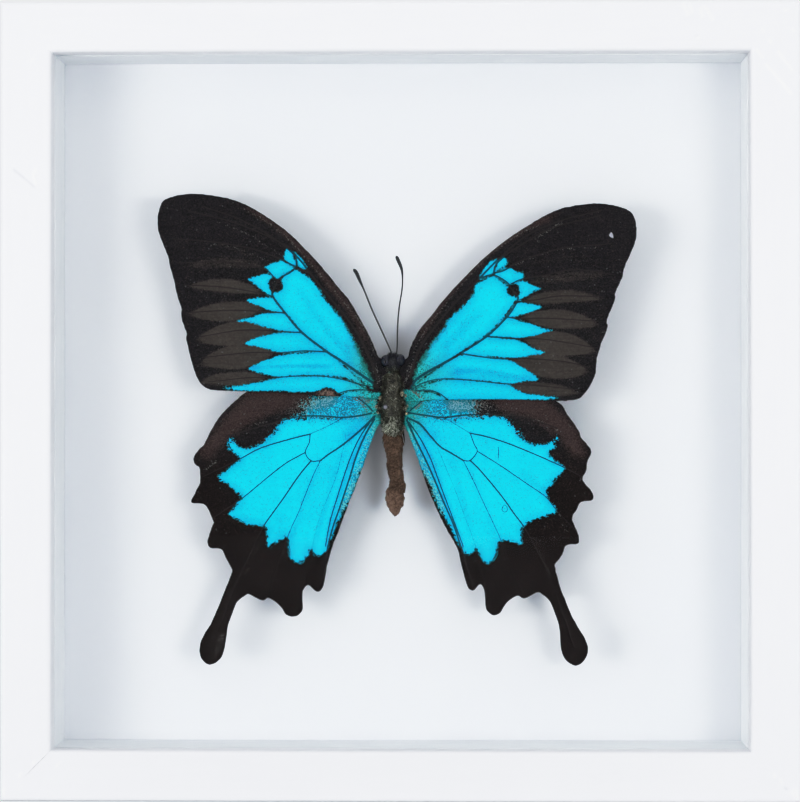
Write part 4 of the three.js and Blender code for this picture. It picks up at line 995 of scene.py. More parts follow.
def make_wings():
    material = wing_finish()
    marks = {
        "forewing_left": {
            "outline": FORE_L_OUTLINE, "veins": FORE_L_VEINS, "blue": FORE_L_BLUE,
            "soft": FORE_L_SOFT, "streaks": FORE_L_STREAKS, "fold_shade_lines": FORE_L_FOLD_SHADE,
            "pale": FORE_L_PALE, "border": FORE_L_BORDER, "worn": FORE_L_WORN,
            "spots": [(*FORE_L_SPOT, 1.5)], "root": 4, "base_reach": 14},
        "forewing_right": {
            "outline": FORE_R_OUTLINE, "veins": FORE_R_VEINS, "blue": FORE_R_BLUE,
            "soft": FORE_R_SOFT, "streaks": FORE_R_STREAKS, "fold_shade_lines": FORE_R_FOLD_SHADE,
            "pale": FORE_R_PALE, "border": FORE_R_BORDER, "worn": FORE_R_WORN,
            "hole": FORE_R_HOLE, "spots": [(*FORE_R_SPOT, 1.4)], "root": 4, "base_reach": 14},
        "hindwing_left": {
            "outline": HIND_L_OUTLINE, "veins": HIND_L_VEINS, "blue": HIND_L_BLUE,
            "soft": HIND_L_SOFT, "fold_shade_lines": HIND_L_FOLD_SHADE, "pale": HIND_L_PALE,
            "dust": HIND_L_DUST, "brown": HIND_L_BROWN, "worn": HIND_L_WORN,
            "root": -3, "base_reach": 9},
        "hindwing_right": {
            "outline": HIND_R_OUTLINE, "veins": HIND_R_VEINS, "blue": HIND_R_BLUE,
            "soft": HIND_R_SOFT, "fold_shade_lines": HIND_R_FOLD_SHADE, "pale": HIND_R_PALE,
            "dust": HIND_R_DUST, "brown": HIND_R_BROWN, "worn": HIND_R_WORN,
            "root": -3, "base_reach": 9}}
    for seed, (name, wing) in enumerate(marks.items()):
        layer = HINDWING_LAYER if name.startswith("hind") else 0
        make_wing(name + "_scales", wing, material, layer, 11 + seed)


make_wings()


# ---- Hair ------------------------------------------------------------------------------
def hair_template():
    """One bent, tapering hair, 1 mm long along Z."""
    path = np.array([(0, 0, 0), (0, 0, 0.08), (0.03, 0, 0.4), (0.1, 0, 0.72), (0.2, 0, 1)]) * MM
    size = np.array([0, 1, 0.9, 0.6, 0]) * HAIR_THICKNESS * MM
    points, faces = swept(path, size, size, 3)
    mesh = bpy.data.meshes.new("one_hair")
    mesh.from_pydata([tuple(p) for p in points], [], faces)
    hair = bpy.data.objects.new("one_hair", mesh)
    bpy.context.scene.collection.objects.link(hair)
    return hair


def tree_node(tree, kind, settings=None, links=None, **values):
    """A node of a geometry tree; links says which sockets feed its inputs."""
    node = tree.nodes.new(kind)
    for key, setting in (settings or {}).items():
        setattr(node, key, setting)
    for key, value in values.items():
        node.inputs[key].default_value = value
    for key, source in (links or {}).items():
        tree.links.new(source, node.inputs[key])
    return node


def hair_inputs(tree):
    """The hair tree's named inputs, as sockets to link from."""
    kinds = {"Geometry": "Geometry", "Hair": "Object", "Density": "Float", "Length": "Float",
             "Upright": "Float", "Tangle": "Float", "Comb": "Vector", "Seed": "Int"}
    tree.interface.new_socket("Geometry", in_out="OUTPUT", socket_type="NodeSocketGeometry")
    for name, kind in kinds.items():
        tree.interface.new_socket(name, in_out="INPUT", socket_type="NodeSocket" + kind)
    return tree_node(tree, "NodeGroupInput").outputs


def hair_turn(tree, given, normal):
    """Which way each hair leans: upright, combed and a little tangled."""
    stand = tree_node(tree, "ShaderNodeVectorMath", {"operation": "SCALE"},
                      {0: normal, "Scale": given["Upright"]})
    sway = tree_node(tree, "FunctionNodeRandomValue", {"data_type": "FLOAT_VECTOR"},
                     {"Seed": given["Seed"]})
    sway.inputs[0].default_value = (-1, -1, -1)
    swayed = tree_node(tree, "ShaderNodeVectorMath", {"operation": "SCALE"},
                       {0: sway.outputs[0], "Scale": given["Tangle"]})
    leaning = tree_node(tree, "ShaderNodeVectorMath", {"operation": "ADD"},
                        {0: stand.outputs[0], 1: given["Comb"]})
    way = tree_node(tree, "ShaderNodeVectorMath", {"operation": "ADD"},
                    {0: leaning.outputs[0], 1: swayed.outputs[0]})
    return tree_node(tree, "FunctionNodeAlignRotationToVector", {"axis": "Z"},
                     {"Vector": way.outputs[0]}).outputs[0]


def hair_length(tree, given):
    some = tree_node(tree, "FunctionNodeRandomValue", {"data_type": "FLOAT"},
                     {"Seed": given["Seed"]})
    some.inputs[2].default_value, some.inputs[3].default_value = SHORT_HAIR, LONG_HAIR
    return tree_node(tree, "ShaderNodeMath", {"operation": "MULTIPLY"},
                     {0: some.outputs[1], 1: given["Length"]}).outputs[0]


def hair_tree(material):
    """Hairs over a surface: how many, how long, which way they are combed."""
    tree = bpy.data.node_groups.new("grow_hair", "GeometryNodeTree")
    given = hair_inputs(tree)
    coat = tree_node(tree, "GeometryNodeInputNamedAttribute", {"data_type": "FLOAT"},
                     Name="coat")
    thick = tree_node(tree, "ShaderNodeMath", {"operation": "MULTIPLY"},
                      {0: given["Density"], 1: coat.outputs[0]})
    roots = tree_node(tree, "GeometryNodeDistributePointsOnFaces", None,
                      {"Mesh": given["Geometry"], "Density": thick.outputs[0],
                       "Seed": given["Seed"]}).outputs
    shape = tree_node(tree, "GeometryNodeObjectInfo", None, {"Object": given["Hair"]})
    grown = tree_node(tree, "GeometryNodeInstanceOnPoints", None,
                      {"Points": roots["Points"], "Instance": shape.outputs["Geometry"],
                       "Rotation": hair_turn(tree, given, roots["Normal"]),
                       "Scale": hair_length(tree, given)})
    tint = tree_node(tree, "FunctionNodeRandomValue", {"data_type": "FLOAT"})
    tint.inputs["Seed"].default_value = 5
    toned = tree_node(tree, "GeometryNodeStoreNamedAttribute",
                      {"data_type": "FLOAT", "domain": "INSTANCE"},
                      {"Geometry": grown.outputs[0], "Value": tint.outputs[1]}, Name="tone")
    real = tree_node(tree, "GeometryNodeRealizeInstances", None, {0: toned.outputs[0]})
    finished = tree_node(tree, "GeometryNodeSetMaterial", None,
                         {"Geometry": real.outputs[0]}, Material=material)
    tree.links.new(finished.outputs[0], tree_node(tree, "NodeGroupOutput").inputs[0])
    return tree


def grow_hair(name, points, faces, coat, tree, hair, settings, material):
    """Hairs on the given surface as one plain mesh piece; coat scales how dense they are."""
    skin = bpy.data.meshes.new(name + "_skin")
    skin.from_pydata([tuple(p) for p in points], [], faces)
    layer = skin.attributes.new("coat", "FLOAT", "POINT")
    layer.data.foreach_set("value", np.asarray(coat, dtype=np.float32))
    host = bpy.data.objects.new(name + "_skin", skin)
    bpy.context.scene.collection.objects.link(host)
    grower = host.modifiers.new("hair", "NODES")
    grower.node_group = tree
    sockets = {s.name: s.identifier for s in tree.interface.items_tree
               if s.in_out == "INPUT"}
    grower[sockets["Hair"]] = hair
    for key, value in settings.items():
        grower[sockets[key]] = value
    graph = bpy.context.evaluated_depsgraph_get()
    mesh = bpy.data.meshes.new_from_object(host.evaluated_get(graph))
    bpy.data.objects.remove(host)
    mesh.name = name
    mesh.materials.clear()
    mesh.materials.append(material)
    mesh.polygons.foreach_set("use_smooth", [True] * len(mesh.polygons))
    piece = bpy.data.objects.new(name, mesh)
    bpy.context.scene.collection.objects.link(piece)
    enlist(piece, ())


# ---- Body finishes ---------------------------------------------------------------------
def hair_finish():
    """Olive, black and straw hairs, paler on the tuft behind the thorax."""
    f = Finish("body_hair")
    x, _, z = f.axes()
    low = (f.noise(900, 2) - 0.5) * 0.004 + z
    tail = 1 - low.rise((SPECIMEN_Z - 6.5) * MM, (SPECIMEN_Z - 3) * MM)
    tone = f.attribute("tone")
    patches, flecks = f.noise(650, 2, 0.5), f.cells(3300)
    middle = 1 - (x - (SPECIMEN_X - 0.6) * MM).size().rise(0.5 * MM, 1.7 * MM)
    mixed = tone * 0.5 + (patches - 0.5) * 1.7 + (flecks - 0.5) * 0.7
    mixed = mixed + tail * 0.24 + middle * 0.22 + 0.03
    colour = f.ramp(mixed.least(1).most(0),
                    [(0.0, (0.006, 0.005, 0.004)), (0.28, (0.014, 0.012, 0.009)),
                     (0.48, (0.060, 0.060, 0.042)), (0.66, (0.17, 0.19, 0.14)),
                     (0.85, (0.44, 0.46, 0.36)), (1.0, (0.85, 0.84, 0.76))])
    reddish = x.rise((SPECIMEN_X + 1.2) * MM, (SPECIMEN_X + 2.4) * MM)
    colour = f.blend(reddish * 0.5 * patches, colour, (0.085, 0.040, 0.026))
    surface = f.principled({"Base Color": colour, "Roughness": 0.45,
                            "Specular IOR Level": 0.5})
    return f.done(surface)


def cuticle_finish(name, dark, light, scale, rough, gloss=0.4):
    """Dry mottled skin between two tones."""
    f = Finish(name)
    grain = f.cells(4300)
    mottle = f.noise(scale, 4, 0.62)
    colour = f.blend((mottle + (grain - 0.5) * 0.5).rise(0.25, 0.85), dark, light)
    height = f.noise(scale * 2.4, 4, 0.6) * 0.7 + grain * 0.3
    surface = f.principled({"Base Color": colour, "Roughness": rough,
                            "Specular IOR Level": gloss,
                            "Normal": f.bump(height, 0.00009, 0.7)})
    return f.done(surface)


def eye_finish():
    """Bluish black, glossy, with the fine facets of a compound eye."""
    f = Finish("eye_facets")
    facets = f.node("TexVoronoi", {"feature": "DISTANCE_TO_EDGE"},
                    {"Vector": f.place(), "Scale": 7000.0})
    cloud = f.noise(800, 3)
    colour = f.blend(cloud.rise(0.3, 0.75), (0.006, 0.006, 0.012), (0.024, 0.025, 0.042))
    surface = f.principled({"Base Color": colour, "Roughness": 0.12,
                            "Specular IOR Level": 0.6,
                            "Normal": f.bump(facets, 0.00004, 0.5)})
    return f.done(surface)


def abdomen_finish():
    """Mottled brown, paler and redder at the swollen tip."""
    f = Finish("dry_abdomen")
    z = f.axes()[2]
    grain = f.cells(4600)
    mottle = f.noise(420, 4, 0.65)
    flecks = f.cells(2900)
    fuzz = (grain + flecks - 1) * 0.35
    colour = f.blend((mottle + fuzz).rise(0.2, 0.85),
                     (0.040, 0.022, 0.015), (0.165, 0.100, 0.068))
    tip = 1 - z.rise((SPECIMEN_Z - 22.5) * MM, (SPECIMEN_Z - 19) * MM)
    swollen = f.blend((mottle + fuzz).rise(0.2, 0.9),
                      (0.090, 0.052, 0.036), (0.300, 0.190, 0.140))
    colour = f.blend(tip * 0.85, colour, swollen)
    height = f.noise(900, 4, 0.6) * 0.7 + grain * 0.3
    surface = f.principled({"Base Color": colour, "Roughness": 0.8,
                            "Specular IOR Level": 0.3,
                            "Normal": f.bump(height, 0.00012, 0.8)})
    return f.done(surface)


# ---- Body forms ------------------------------------------------------------------------
def rings_to_form(rings, steps):
    """A smoothed path with its widths and depths, from [z, x, y, half width, half depth]."""
    at = np.linspace(0, len(rings) - 1, steps)
    columns = [np.interp(at, range(len(rings)), column) for column in zip(*rings)]
    for column in columns:
        inner = np.convolve(np.pad(column, 2, "edge"), np.ones(5) / 5, "valid")
        column[2:-2] = inner[2:-2]
    z, x, y, wide, deep = columns
    return np.column_stack([x, y, z]), np.maximum(wide, 0), np.maximum(deep, 0)


def crumple(points, amount, pitch, seed):
    """Moves points in and out with smooth noise; amount and pitch in millimetres."""
    offset = Vector((seed * 17.3, seed * 5.1, seed * 9.7))
    shift = np.array([tuple(noise.noise_vector(Vector(p) / pitch + offset)) for p in points])
    return points + shift * amount


def limb(points, radius, tip, sides=8):
    """A leg or palp: a tapering tube, closed to a point at both ends."""
    path = curve_points(points, 0.5)
    size = np.linspace(1, tip, len(path)) * radius
    ends = np.minimum(np.arange(len(path)), np.arange(len(path))[::-1])
    size = size * np.minimum(1, ends * 0.6)
    return swept(path, size, size, sides)


def thorax_form():
    rings = [(*ring, ring[3] * 1.35) for ring in THORAX_RINGS]
    path, wide, deep = rings_to_form(rings, 90)
    wide = wide * (1 + 0.05 * np.cos((path[:, 2] + 1) * 1.1))
    points, faces = swept(path, wide, deep, 56)
    groove = np.exp(-(points[:, 0] / 0.35)**2) * 0.16
    shoulder = np.exp(-((np.abs(points[:, 0]) - 1.7) / 0.8)**2) * 0.3
    front = points[:, 1] < 0
    points[:, 1] += np.where(front, groove - shoulder, 0)
    points = crumple(points, 0.28, 1.1, 1)
    return crumple(points, 0.1, 0.4, 2), faces


def make_thorax(tree, hair, coat_finish):
    material = cuticle_finish("thorax_skin", (0.007, 0.006, 0.005), (0.085, 0.080, 0.056),
                              620, 0.5)
    form, faces = thorax_form()
    parts = [(form, faces)]
    for leg in LEGS:
        for side in (-1, 1):
            for k, bend in enumerate(leg):
                run = [(x * side - 0.1, y, z) for x, y, z in bend]
                parts.append(limb(run, 0.33 - 0.1 * k, 0.7 - 0.3 * k))
    points, all_faces = join_parts(parts)
    make_piece("thorax_skin", in_frame(points), all_faces, material, ["thorax"])
    side = np.clip(np.abs(form[:, 0]) / 2.6, 0, 1)
    coat = 0.35 + 0.7 * side**2 + 0.5 * (form[:, 2] < -4.2) * (form[:, 0] < 1.2)
    place = in_frame(form)
    settings = {"Density": 17e6, "Length": 0.8, "Upright": 0.55, "Tangle": 0.55,
                "Comb": (0.0, 0.0, -0.75), "Seed": 3}
    grow_hair("thorax_hair", place, faces, coat, tree, hair, settings, coat_finish)
    tuft = 1.0 * (form[:, 2] < -3.8) * (form[:, 1] < 1.5) * (np.abs(form[:, 0] + 0.5) < 1.8)
    settings = {"Density": 24e6, "Length": 1.0, "Upright": 0.35, "Tangle": 0.5,
                "Comb": (0.0, -0.1, -0.9), "Seed": 8}
    grow_hair("waist_tuft", place, faces, tuft, tree, hair, settings, coat_finish)


def make_wing_joints():
    """Small horny knobs on both sides of the thorax."""
    finish = cuticle_finish("joint_horn", (0.012, 0.011, 0.008), (0.42, 0.38, 0.26), 1500,
                            0.4, 0.6)
    parts = []
    for number, (x, y, z, radius) in enumerate(WING_JOINTS):
        knob, faces = ball((x, y, z), (radius, radius, radius * 1.3), 20, 14)
        parts.append((crumple(knob, 0.16, 0.5, 30 + number), faces))
    points, faces = join_parts(parts)
    make_piece("wing_joint_knobs", in_frame(points), faces, finish, ())


def make_abdomen(tree, hair):
    path, wide, deep = rings_to_form(ABDOMEN_RINGS, 190)
    squeeze = np.ones(len(path))
    for joint in ABDOMEN_JOINTS:
        squeeze -= 0.075 * np.exp(-((path[:, 2] - joint) / 0.28)**2)
        squeeze += 0.035 * np.exp(-((path[:, 2] - joint - 0.7) / 0.5)**2)
    points, faces = swept(path, wide * squeeze, deep * squeeze, 48)
    flank = np.clip((np.abs(points[:, 0] - 0.2) - 1.3) / 0.6, 0, 1)
    lobes = np.maximum(0, np.sin((points[:, 2] + 1.2) * 2 * math.pi / 1.55))
    points[:, 0] += np.sign(points[:, 0]) * flank * lobes * 0.12
    points = crumple(points, 0.22, 1.3, 4)
    points = crumple(points, 0.09, 0.38, 5)
    make_piece("abdomen_skin", in_frame(points), faces, abdomen_finish(), ["abdomen"])
    material = cuticle_finish("abdomen_down", (0.045, 0.028, 0.019), (0.30, 0.20, 0.145),
                              700, 0.8, 0.25)
    settings = {"Density": 16e6, "Length": 0.34, "Upright": 0.35, "Tangle": 0.4,
                "Comb": (0.0, 0.0, -0.9), "Seed": 12}
    grow_hair("abdomen_hair", in_frame(points), faces, np.ones(len(points)), tree, hair,
              settings, material)


def make_head(tree, hair, coat_finish):
    skin = cuticle_finish("head_skin", (0.007, 0.007, 0.011), (0.03, 0.031, 0.042), 700, 0.5)
    middle = HEAD_BALL[0][0]
    face, face_faces = ball(*HEAD_BALL, 40, 28)
    face = crumple(face, 0.14, 0.8, 6)
    parts = [(face, face_faces)]
    for side in (-1, 1):
        palp = [(middle + side * x, y, z) for x, y, z in PALP]
        parts.append(limb(palp, 0.55, 0.7, 12))
    points, faces = join_parts(parts)
    make_piece("head_skin", in_frame(points), faces, skin, ["head"])
    points, faces = join_parts([ball(*eye, 40, 28) for eye in EYE_BALLS])
    make_piece("eyes", in_frame(points), faces, eye_finish(), ())
    coat = 1.0 * (np.abs(face[:, 0] - middle) < 1.4)
    settings = {"Density": 26e6, "Length": 0.5, "Upright": 0.8, "Tangle": 0.5,
                "Comb": (0.0, -0.2, -0.3), "Seed": 15}
    dark = cuticle_finish("head_hair", (0.006, 0.006, 0.009), (0.09, 0.092, 0.105), 1500,
                          0.35)
    grow_hair("head_hair_tuft", in_frame(face), face_faces, coat, tree, hair, settings, dark)
    collar = 1.0 * (face[:, 2] < 7.9) * (face[:, 1] < 1.2)
    settings = {"Density": 16e6, "Length": 0.8, "Upright": 0.5, "Tangle": 0.5,
                "Comb": (0.0, -0.2, -0.7), "Seed": 19}
    grow_hair("collar_hair", in_frame(face), face_faces, collar, tree, hair, settings,
              coat_finish)


def make_antennae():
    f = Finish("antenna_horn")
    rings = f.axes()[2] * 2 * math.pi / 0.00042
    band = f.node("Math", {"operation": "SINE"}, {0: rings}) * 0.5 + 0.5
    colour = f.blend(band * 0.5, (0.008, 0.009, 0.013), (0.03, 0.032, 0.042))
    material = f.done(f.principled({"Base Color": colour, "Roughness": 0.42,
                                    "Normal": f.bump(band, 0.00003, 0.6)}))
    for name, line in (("antenna_left", ANTENNA_L), ("antenna_right", ANTENNA_R)):
        path = curve_points(line, 0.12)
        run = np.concatenate([[0], np.cumsum(np.linalg.norm(np.diff(path, axis=0), axis=1))])
        share = run / run[-1]
        club = np.clip((share - 0.74) / 0.2, 0, 1)
        size = 0.155 + 0.24 * club * club * (3 - 2 * club)
        size = size + 0.16 * np.exp(-(run / 0.35)**2)
        size = size * (1 + 0.05 * np.cos(run * 2 * math.pi / 0.42))
        size = size * np.sqrt(np.clip((run[-1] - run) / 0.55, 0, 1))
        points, faces = swept(path, size, size, 14)
        make_piece(name + "_horn", in_frame(points), faces, material, [name])


def make_pin():
    """The pin with its round head and ground point."""
    f = Finish("pin_steel")
    scratch = f.noise(3000, 3, 0.6, f.stretched((1, 1, 0.1)))
    colour = f.blend(scratch, (0.11, 0.11, 0.13), (0.34, 0.33, 0.37))
    material = f.done(f.principled({"Base Color": colour, "Metallic": 1.0,
                                    "Roughness": 0.26 + scratch * 0.12}))
    low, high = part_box("specimen_pin")
    x, z = (low.x + high.x) / 2 / MM, (low.z + high.z) / 2 / MM
    front, back = low.y / MM, high.y / MM
    steps = [(0, 0), (0.2, 0.02), (0.4, 0.09), (0.53, 0.22), (0.56, 0.38), (0.5, 0.55),
             (0.36, 0.66), (0.22, 0.74), (0.2, 0.95), (0.2, 8), (0.2, back - front - 1.4),
             (0.12, back - front - 0.6), (0, back - front)]
    fine = curve_points(steps, 0.12)
    fine = fine[np.concatenate([[True], np.diff(fine[:, 1]) > 1e-4])]
    path = [(x, front + t, z) for _, t in fine]
    size = np.maximum(fine[:, 0], 0)
    points, faces = swept(path, size, size, 24)
    make_piece("pin_and_head", np.array(points) * MM, faces, material, ["specimen_pin"])


def make_body():
    coat_finish = hair_finish()
    hair = hair_template()
    tree = hair_tree(coat_finish)
    make_thorax(tree, hair, coat_finish)
    make_wing_joints()
    make_abdomen(tree, hair)
    make_head(tree, hair, coat_finish)
    bpy.data.objects.remove(hair)
    make_antennae()
    make_pin()


make_body()


# ---- Frame mouldings and strips --------------------------------------------------------
def line_height(points, lines):
    """Height of the tallest ridge at each point."""
    total = np.zeros(len(points))
    for x1, z1, x2, z2, half, height in lines:
        gap, _ = distance_to(points, np.array([(x1, z1), (x2, z2)]))
        total = np.maximum(total, height * np.exp(-(gap / half)**2))
    return total


def paint_height(points):
    """Thickness of the paint over the flat face: slow waves, brush ridges, scratches."""
    x, z = points.T
    waves = (0.02 * np.sin(x * 0.21 + 1.3 * np.sin(z * 0.13)) * np.sin(z * 0.17 + 0.6)
             + 0.012 * np.sin(x * 0.55 + z * 0.47 + 2))
    ridges = line_height(points, PAINT_RIDGES)
    grooves = line_height(points, PAINT_GROOVES)
    return waves + ridges - grooves, ridges, grooves


def arc(centre, radius, start, turn, steps):
    """Points on an arc, angles in degrees."""
    angles = np.radians(np.linspace(start, start + turn, steps + 1))
    return [(centre[0] + radius * math.cos(a), centre[1] + radius * math.sin(a))
            for a in angles]


def spread(points, spacing):
    """Adds points so that no two neighbours are further apart than the spacing."""
    rows = []
    for a, b in zip(points, points[1:] + points[:1]):
        steps = max(1, int(math.ceil(math.dist(a, b) / spacing)))
        rows.extend([(a[0] + (b[0] - a[0]) * k / steps, a[1] + (b[1] - a[1]) * k / steps)
                     for k in range(steps)])
    return rows


def turned_bar(profile, half_length, columns, quarter):
    """A closed bar: a profile of (distance from the outer edge, depth) carried along.

    quarter 0 is the bottom bar, 1 the right, 2 the top and 3 the left.
    """
    profile = np.array(profile)
    share = np.linspace(-1, 1, columns)
    low, high = half_length(profile[:, 0])
    along = (high + low)[None] / 2 + share[:, None] * (high - low)[None] / 2
    a = along.ravel()
    b = np.tile(profile[:, 0] - FRAME_SIDE / MM / 2, columns)
    depth = np.tile(profile[:, 1], columns)
    for _ in range(quarter):
        a, b = -b, a
    points = np.column_stack([a, depth, b + CENTRE_Z / MM])
    count = len(profile)
    faces = []
    for c in range(columns - 1):
        for k in range(count):
            n = (k + 1) % count
            faces.append((c * count + k, (c + 1) * count + k, (c + 1) * count + n,
                          c * count + n))
    faces.append(tuple(range(count)))
    faces.append(tuple(range((columns - 1) * count, columns * count))[::-1])
    return points, faces


def outward(points, faces):
    """Turns a closed form's faces so that they point out."""
    volume = 0.0
    for face in faces:
        a = np.array(points[face[0]])
        for i in range(1, len(face) - 1):
            volume += a @ np.cross(points[face[i]], points[face[i + 1]])
    return faces if volume > 0 else [face[::-1] for face in faces]


def paint_finish(name, along):
    """Satin white paint with brush marks that run along the moulding."""
    f = Finish(name)
    scale = (60, 400, 900) if along == "x" else (900, 400, 60)
    brush = f.noise(1.0, 5, 0.6, f.stretched(scale))
    cloud = f.noise(22, 3, 0.5)
    speck = f.noise(1500, 2, 0.5)
    tone = (cloud - 0.5) * 0.6 + (brush - 0.5) * 0.5
    colour = f.blend(tone.rise(-0.35, 0.35), (0.905, 0.908, 0.930), (0.930, 0.932, 0.950))
    # Painted highlight: the tops of the brush ridges are made lighter in colour, as if catching
    # the light.
    colour = f.blend(f.attribute("thick"), colour, (0.97, 0.97, 0.965))
    colour = f.blend(f.attribute("scratch") * 0.5, colour, (0.66, 0.67, 0.72))
    height = brush * 0.6 + f.noise(260, 3, 0.5) * 0.5 + speck * 0.12
    surface = f.principled({"Base Color": colour, "Roughness": 0.42 + (cloud - 0.5) * 0.12,
                            "Specular IOR Level": 0.4,
                            "Normal": f.bump(height, 0.00007, 0.35)})
    return f.done(surface)


def rail_profile():
    """Round a moulding from its outer back corner: side, face, sight edge, rebate, back."""
    front, back = FRONT / MM + PAINT_SETBACK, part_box("frame_rail_bottom")[1].y / MM
    face, wall, lip = FACE_WIDTH / MM, WALL_WIDTH / MM, front + LIP_DEPTH / MM
    side = spread([(0.3, back), (0, back - 0.3), (0, front + 1.1)], 1.6)[:-1]
    outer_arris = arc((OUTER_ARRIS, front + OUTER_ARRIS), OUTER_ARRIS, 180, 90, 6)
    inner_arris = arc((face - INNER_ARRIS, front + INNER_ARRIS), INNER_ARRIS, 270, 90, 6)
    face_points = [(u, front) for u in np.arange(1.35, face - 1.0, 0.36)]
    lip_side = [(face, front + t) for t in (1.5, 2.4, 3.6, 4.8)]
    rebate = [(face, lip - 0.35), (face - 0.2, lip - 0.05), (face - 1.5, lip),
              (wall + 0.3, lip), (wall, lip + 0.3)]
    inside_wall = [(wall, y) for y in np.arange(lip + 2.5, back - 1, 2.5)]
    return (side + outer_arris + face_points + inner_arris + lip_side + rebate
            + inside_wall + [(wall, back - 0.3), (wall - 0.3, back), (3.5, back)])


def make_rail(name, quarter, material):
    """A painted moulding with ridges and scratches; one mitre has opened a little."""
    half = FRAME_SIDE / MM / 2

    def reach(u):
        low, high = half - u, half - u
        crack = np.clip(np.minimum(u - MITRE_CRACK[0], MITRE_CRACK[1] - u) / 1.2, 0, 1)
        ragged = 0.05 + 0.035 * np.sin(u * 5.1 + quarter) + 0.025 * np.sin(u * 11.3)
        if quarter == 0:
            low = low - crack * ragged
        if quarter == 3:
            high = high - crack * ragged
        return -low, high

    profile = rail_profile()
    points, faces = turned_bar(profile, reach, RAIL_COLUMNS, quarter)
    flat = points[:, [0, 2]]
    height, ridges, grooves = paint_height(flat)
    front = FRONT / MM + PAINT_SETBACK
    on_face = np.clip(1 - (points[:, 1] - front) / 0.5, 0, 1)
    points[:, 1] -= (height + 0.02) * on_face
    piece = make_piece(name + "_moulding", points * MM, outward(points, faces), material,
                       [name])
    piece.data.set_sharp_from_angle(angle=math.radians(40))
    # The thick field marks the brush ridges whose colour carries the painted highlight.
    add_attribute(piece, "thick", np.clip(ridges / 0.075, 0, 1) * on_face)
    add_attribute(piece, "scratch", np.clip(grooves / 0.09 - 0.1, 0, 1) * on_face)


def strip_finish(name, along):
    """White card strip, a little cooler and duller than the paint."""
    f = Finish(name)
    scale = (120, 500, 1400) if along == "x" else (1400, 500, 120)
    streaks = f.noise(1.0, 4, 0.6, f.stretched(scale))
    fibre = f.noise(1800, 3, 0.6)
    colour = f.blend(streaks.rise(0.25, 0.8), (0.84, 0.853, 0.88), (0.895, 0.905, 0.922))
    surface = f.principled({"Base Color": colour, "Roughness": 0.7,
                            "Normal": f.bump(fibre * 0.4 + streaks * 0.6, 0.00006, 0.35)})
    return f.done(surface)


def make_strip(name, quarter, ends, material):
    """A card strip that lines one wall, a little bowed; ends is half its length."""
    low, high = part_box(name)
    thick = min(high.x - low.x, high.z - low.z) / MM
    outer = (FRAME_SIDE / MM / 2 - max(abs(low.x), abs(high.x)) / MM if quarter % 2
             else min(low.z / MM, (FRAME_SIDE - high.z) / MM))
    front, back = low.y / MM - STRIP_GROWTH, high.y / MM + STRIP_GROWTH
    ease, nick = STRIP_EASE, STRIP_NICK
    corners = [(outer + ease, back), (outer, back - ease), (outer, front + ease),
               (outer + ease, front), (outer + thick - ease, front),
               (outer + thick - nick, front + nick), (outer + thick, front + ease),
               (outer + thick, back - ease), (outer + thick - nick, back - nick),
               (outer + thick - ease, back)]

    def reach(u):
        return np.full(len(u), -ends), np.full(len(u), ends)

    points, faces = turned_bar(spread(corners, 1.5), reach, 90, quarter)
    bow = 0.05 * np.sin(points[:, 0] * 0.045 + quarter) * np.sin(points[:, 2] * 0.038 + 1)
    if quarter % 2:
        points[:, 0] += bow
    else:
        points[:, 2] += bow
    piece = make_piece(name + "_strip", points * MM, outward(points, faces), material,
                       [name])
    piece.data.set_sharp_from_angle(angle=math.radians(50))


def glass_finish():
    """Thin clear glass that lets lamps through."""
    f = Finish("clear_glass")
    glass = f.principled({"Base Color": (0.985, 0.995, 0.99, 1), "Roughness": 0.0,
                          "Transmission Weight": 1.0, "IOR": 1.15,
                          "Specular IOR Level": 0.5})
    clear = f.node("BsdfTransparent", {}, {"Color": (0.97, 0.985, 0.98, 1)})
    shadow = f.node("LightPath", out="Is Shadow Ray")
    return f.done(f.node("MixShader", {}, {0: shadow, 1: glass, 2: clear}))


def board_finish():
    """White mount card with a faint tooth."""
    f = Finish("mount_card")
    fibre = f.noise(1300, 4, 0.6)
    cloud = f.noise(9, 3, 0.5)
    tooth = f.cells(1500)
    colour = f.blend((cloud + (fibre - 0.5) * 0.12).rise(0.3, 0.7), (0.732, 0.744, 0.788),
                     (0.757, 0.767, 0.803))
    surface = f.principled({"Base Color": colour, "Roughness": 0.85,
                            "Specular IOR Level": 0.3,
                            "Normal": f.bump(fibre * 0.7 + tooth * 0.3, 0.00005, 0.3)})
    return f.done(surface)


def hardboard_finish():
    """Brown hardboard: matted fibres and darker chips."""
    f = Finish("hardboard")
    fibre = f.noise(1.0, 5, 0.65, f.stretched((260, 260, 900)))
    cross = f.noise(1.0, 5, 0.65, f.stretched((900, 260, 260)))
    chips = f.cells(900)
    mix = fibre * 0.5 + cross * 0.5 + (chips - 0.5) * 0.16
    colour = f.ramp(mix, [(0.25, (0.09, 0.048, 0.024)), (0.5, (0.22, 0.135, 0.072)),
                          (0.78, (0.36, 0.245, 0.145))])
    surface = f.principled({"Base Color": colour, "Roughness": 0.82,
                            "Normal": f.bump(mix, 0.00025, 0.6)})
    return f.done(surface)


def steel_finish():
    """Galvanised steel: spangle, fine scratches, duller at random."""
    f = Finish("steel_fixings")
    spangle = f.cells(900)
    scratch = f.noise(1.0, 4, 0.6, f.stretched((300, 2500, 4000)))
    colour = f.blend(spangle * 0.6 + scratch * 0.4, (0.36, 0.37, 0.39), (0.62, 0.63, 0.65))
    surface = f.principled({"Base Color": colour, "Metallic": 1.0,
                            "Roughness": 0.28 + spangle * 0.14 + scratch * 0.1,
                            "Normal": f.bump(scratch, 0.00003, 0.4)})
    return f.done(surface)


def paint_node(name, material):
    """A CAD solid whose shape is right keeps it and takes a finer finish."""
    solid = bpy.data.objects[name]
    for slot in solid.material_slots:
        slot.material = material


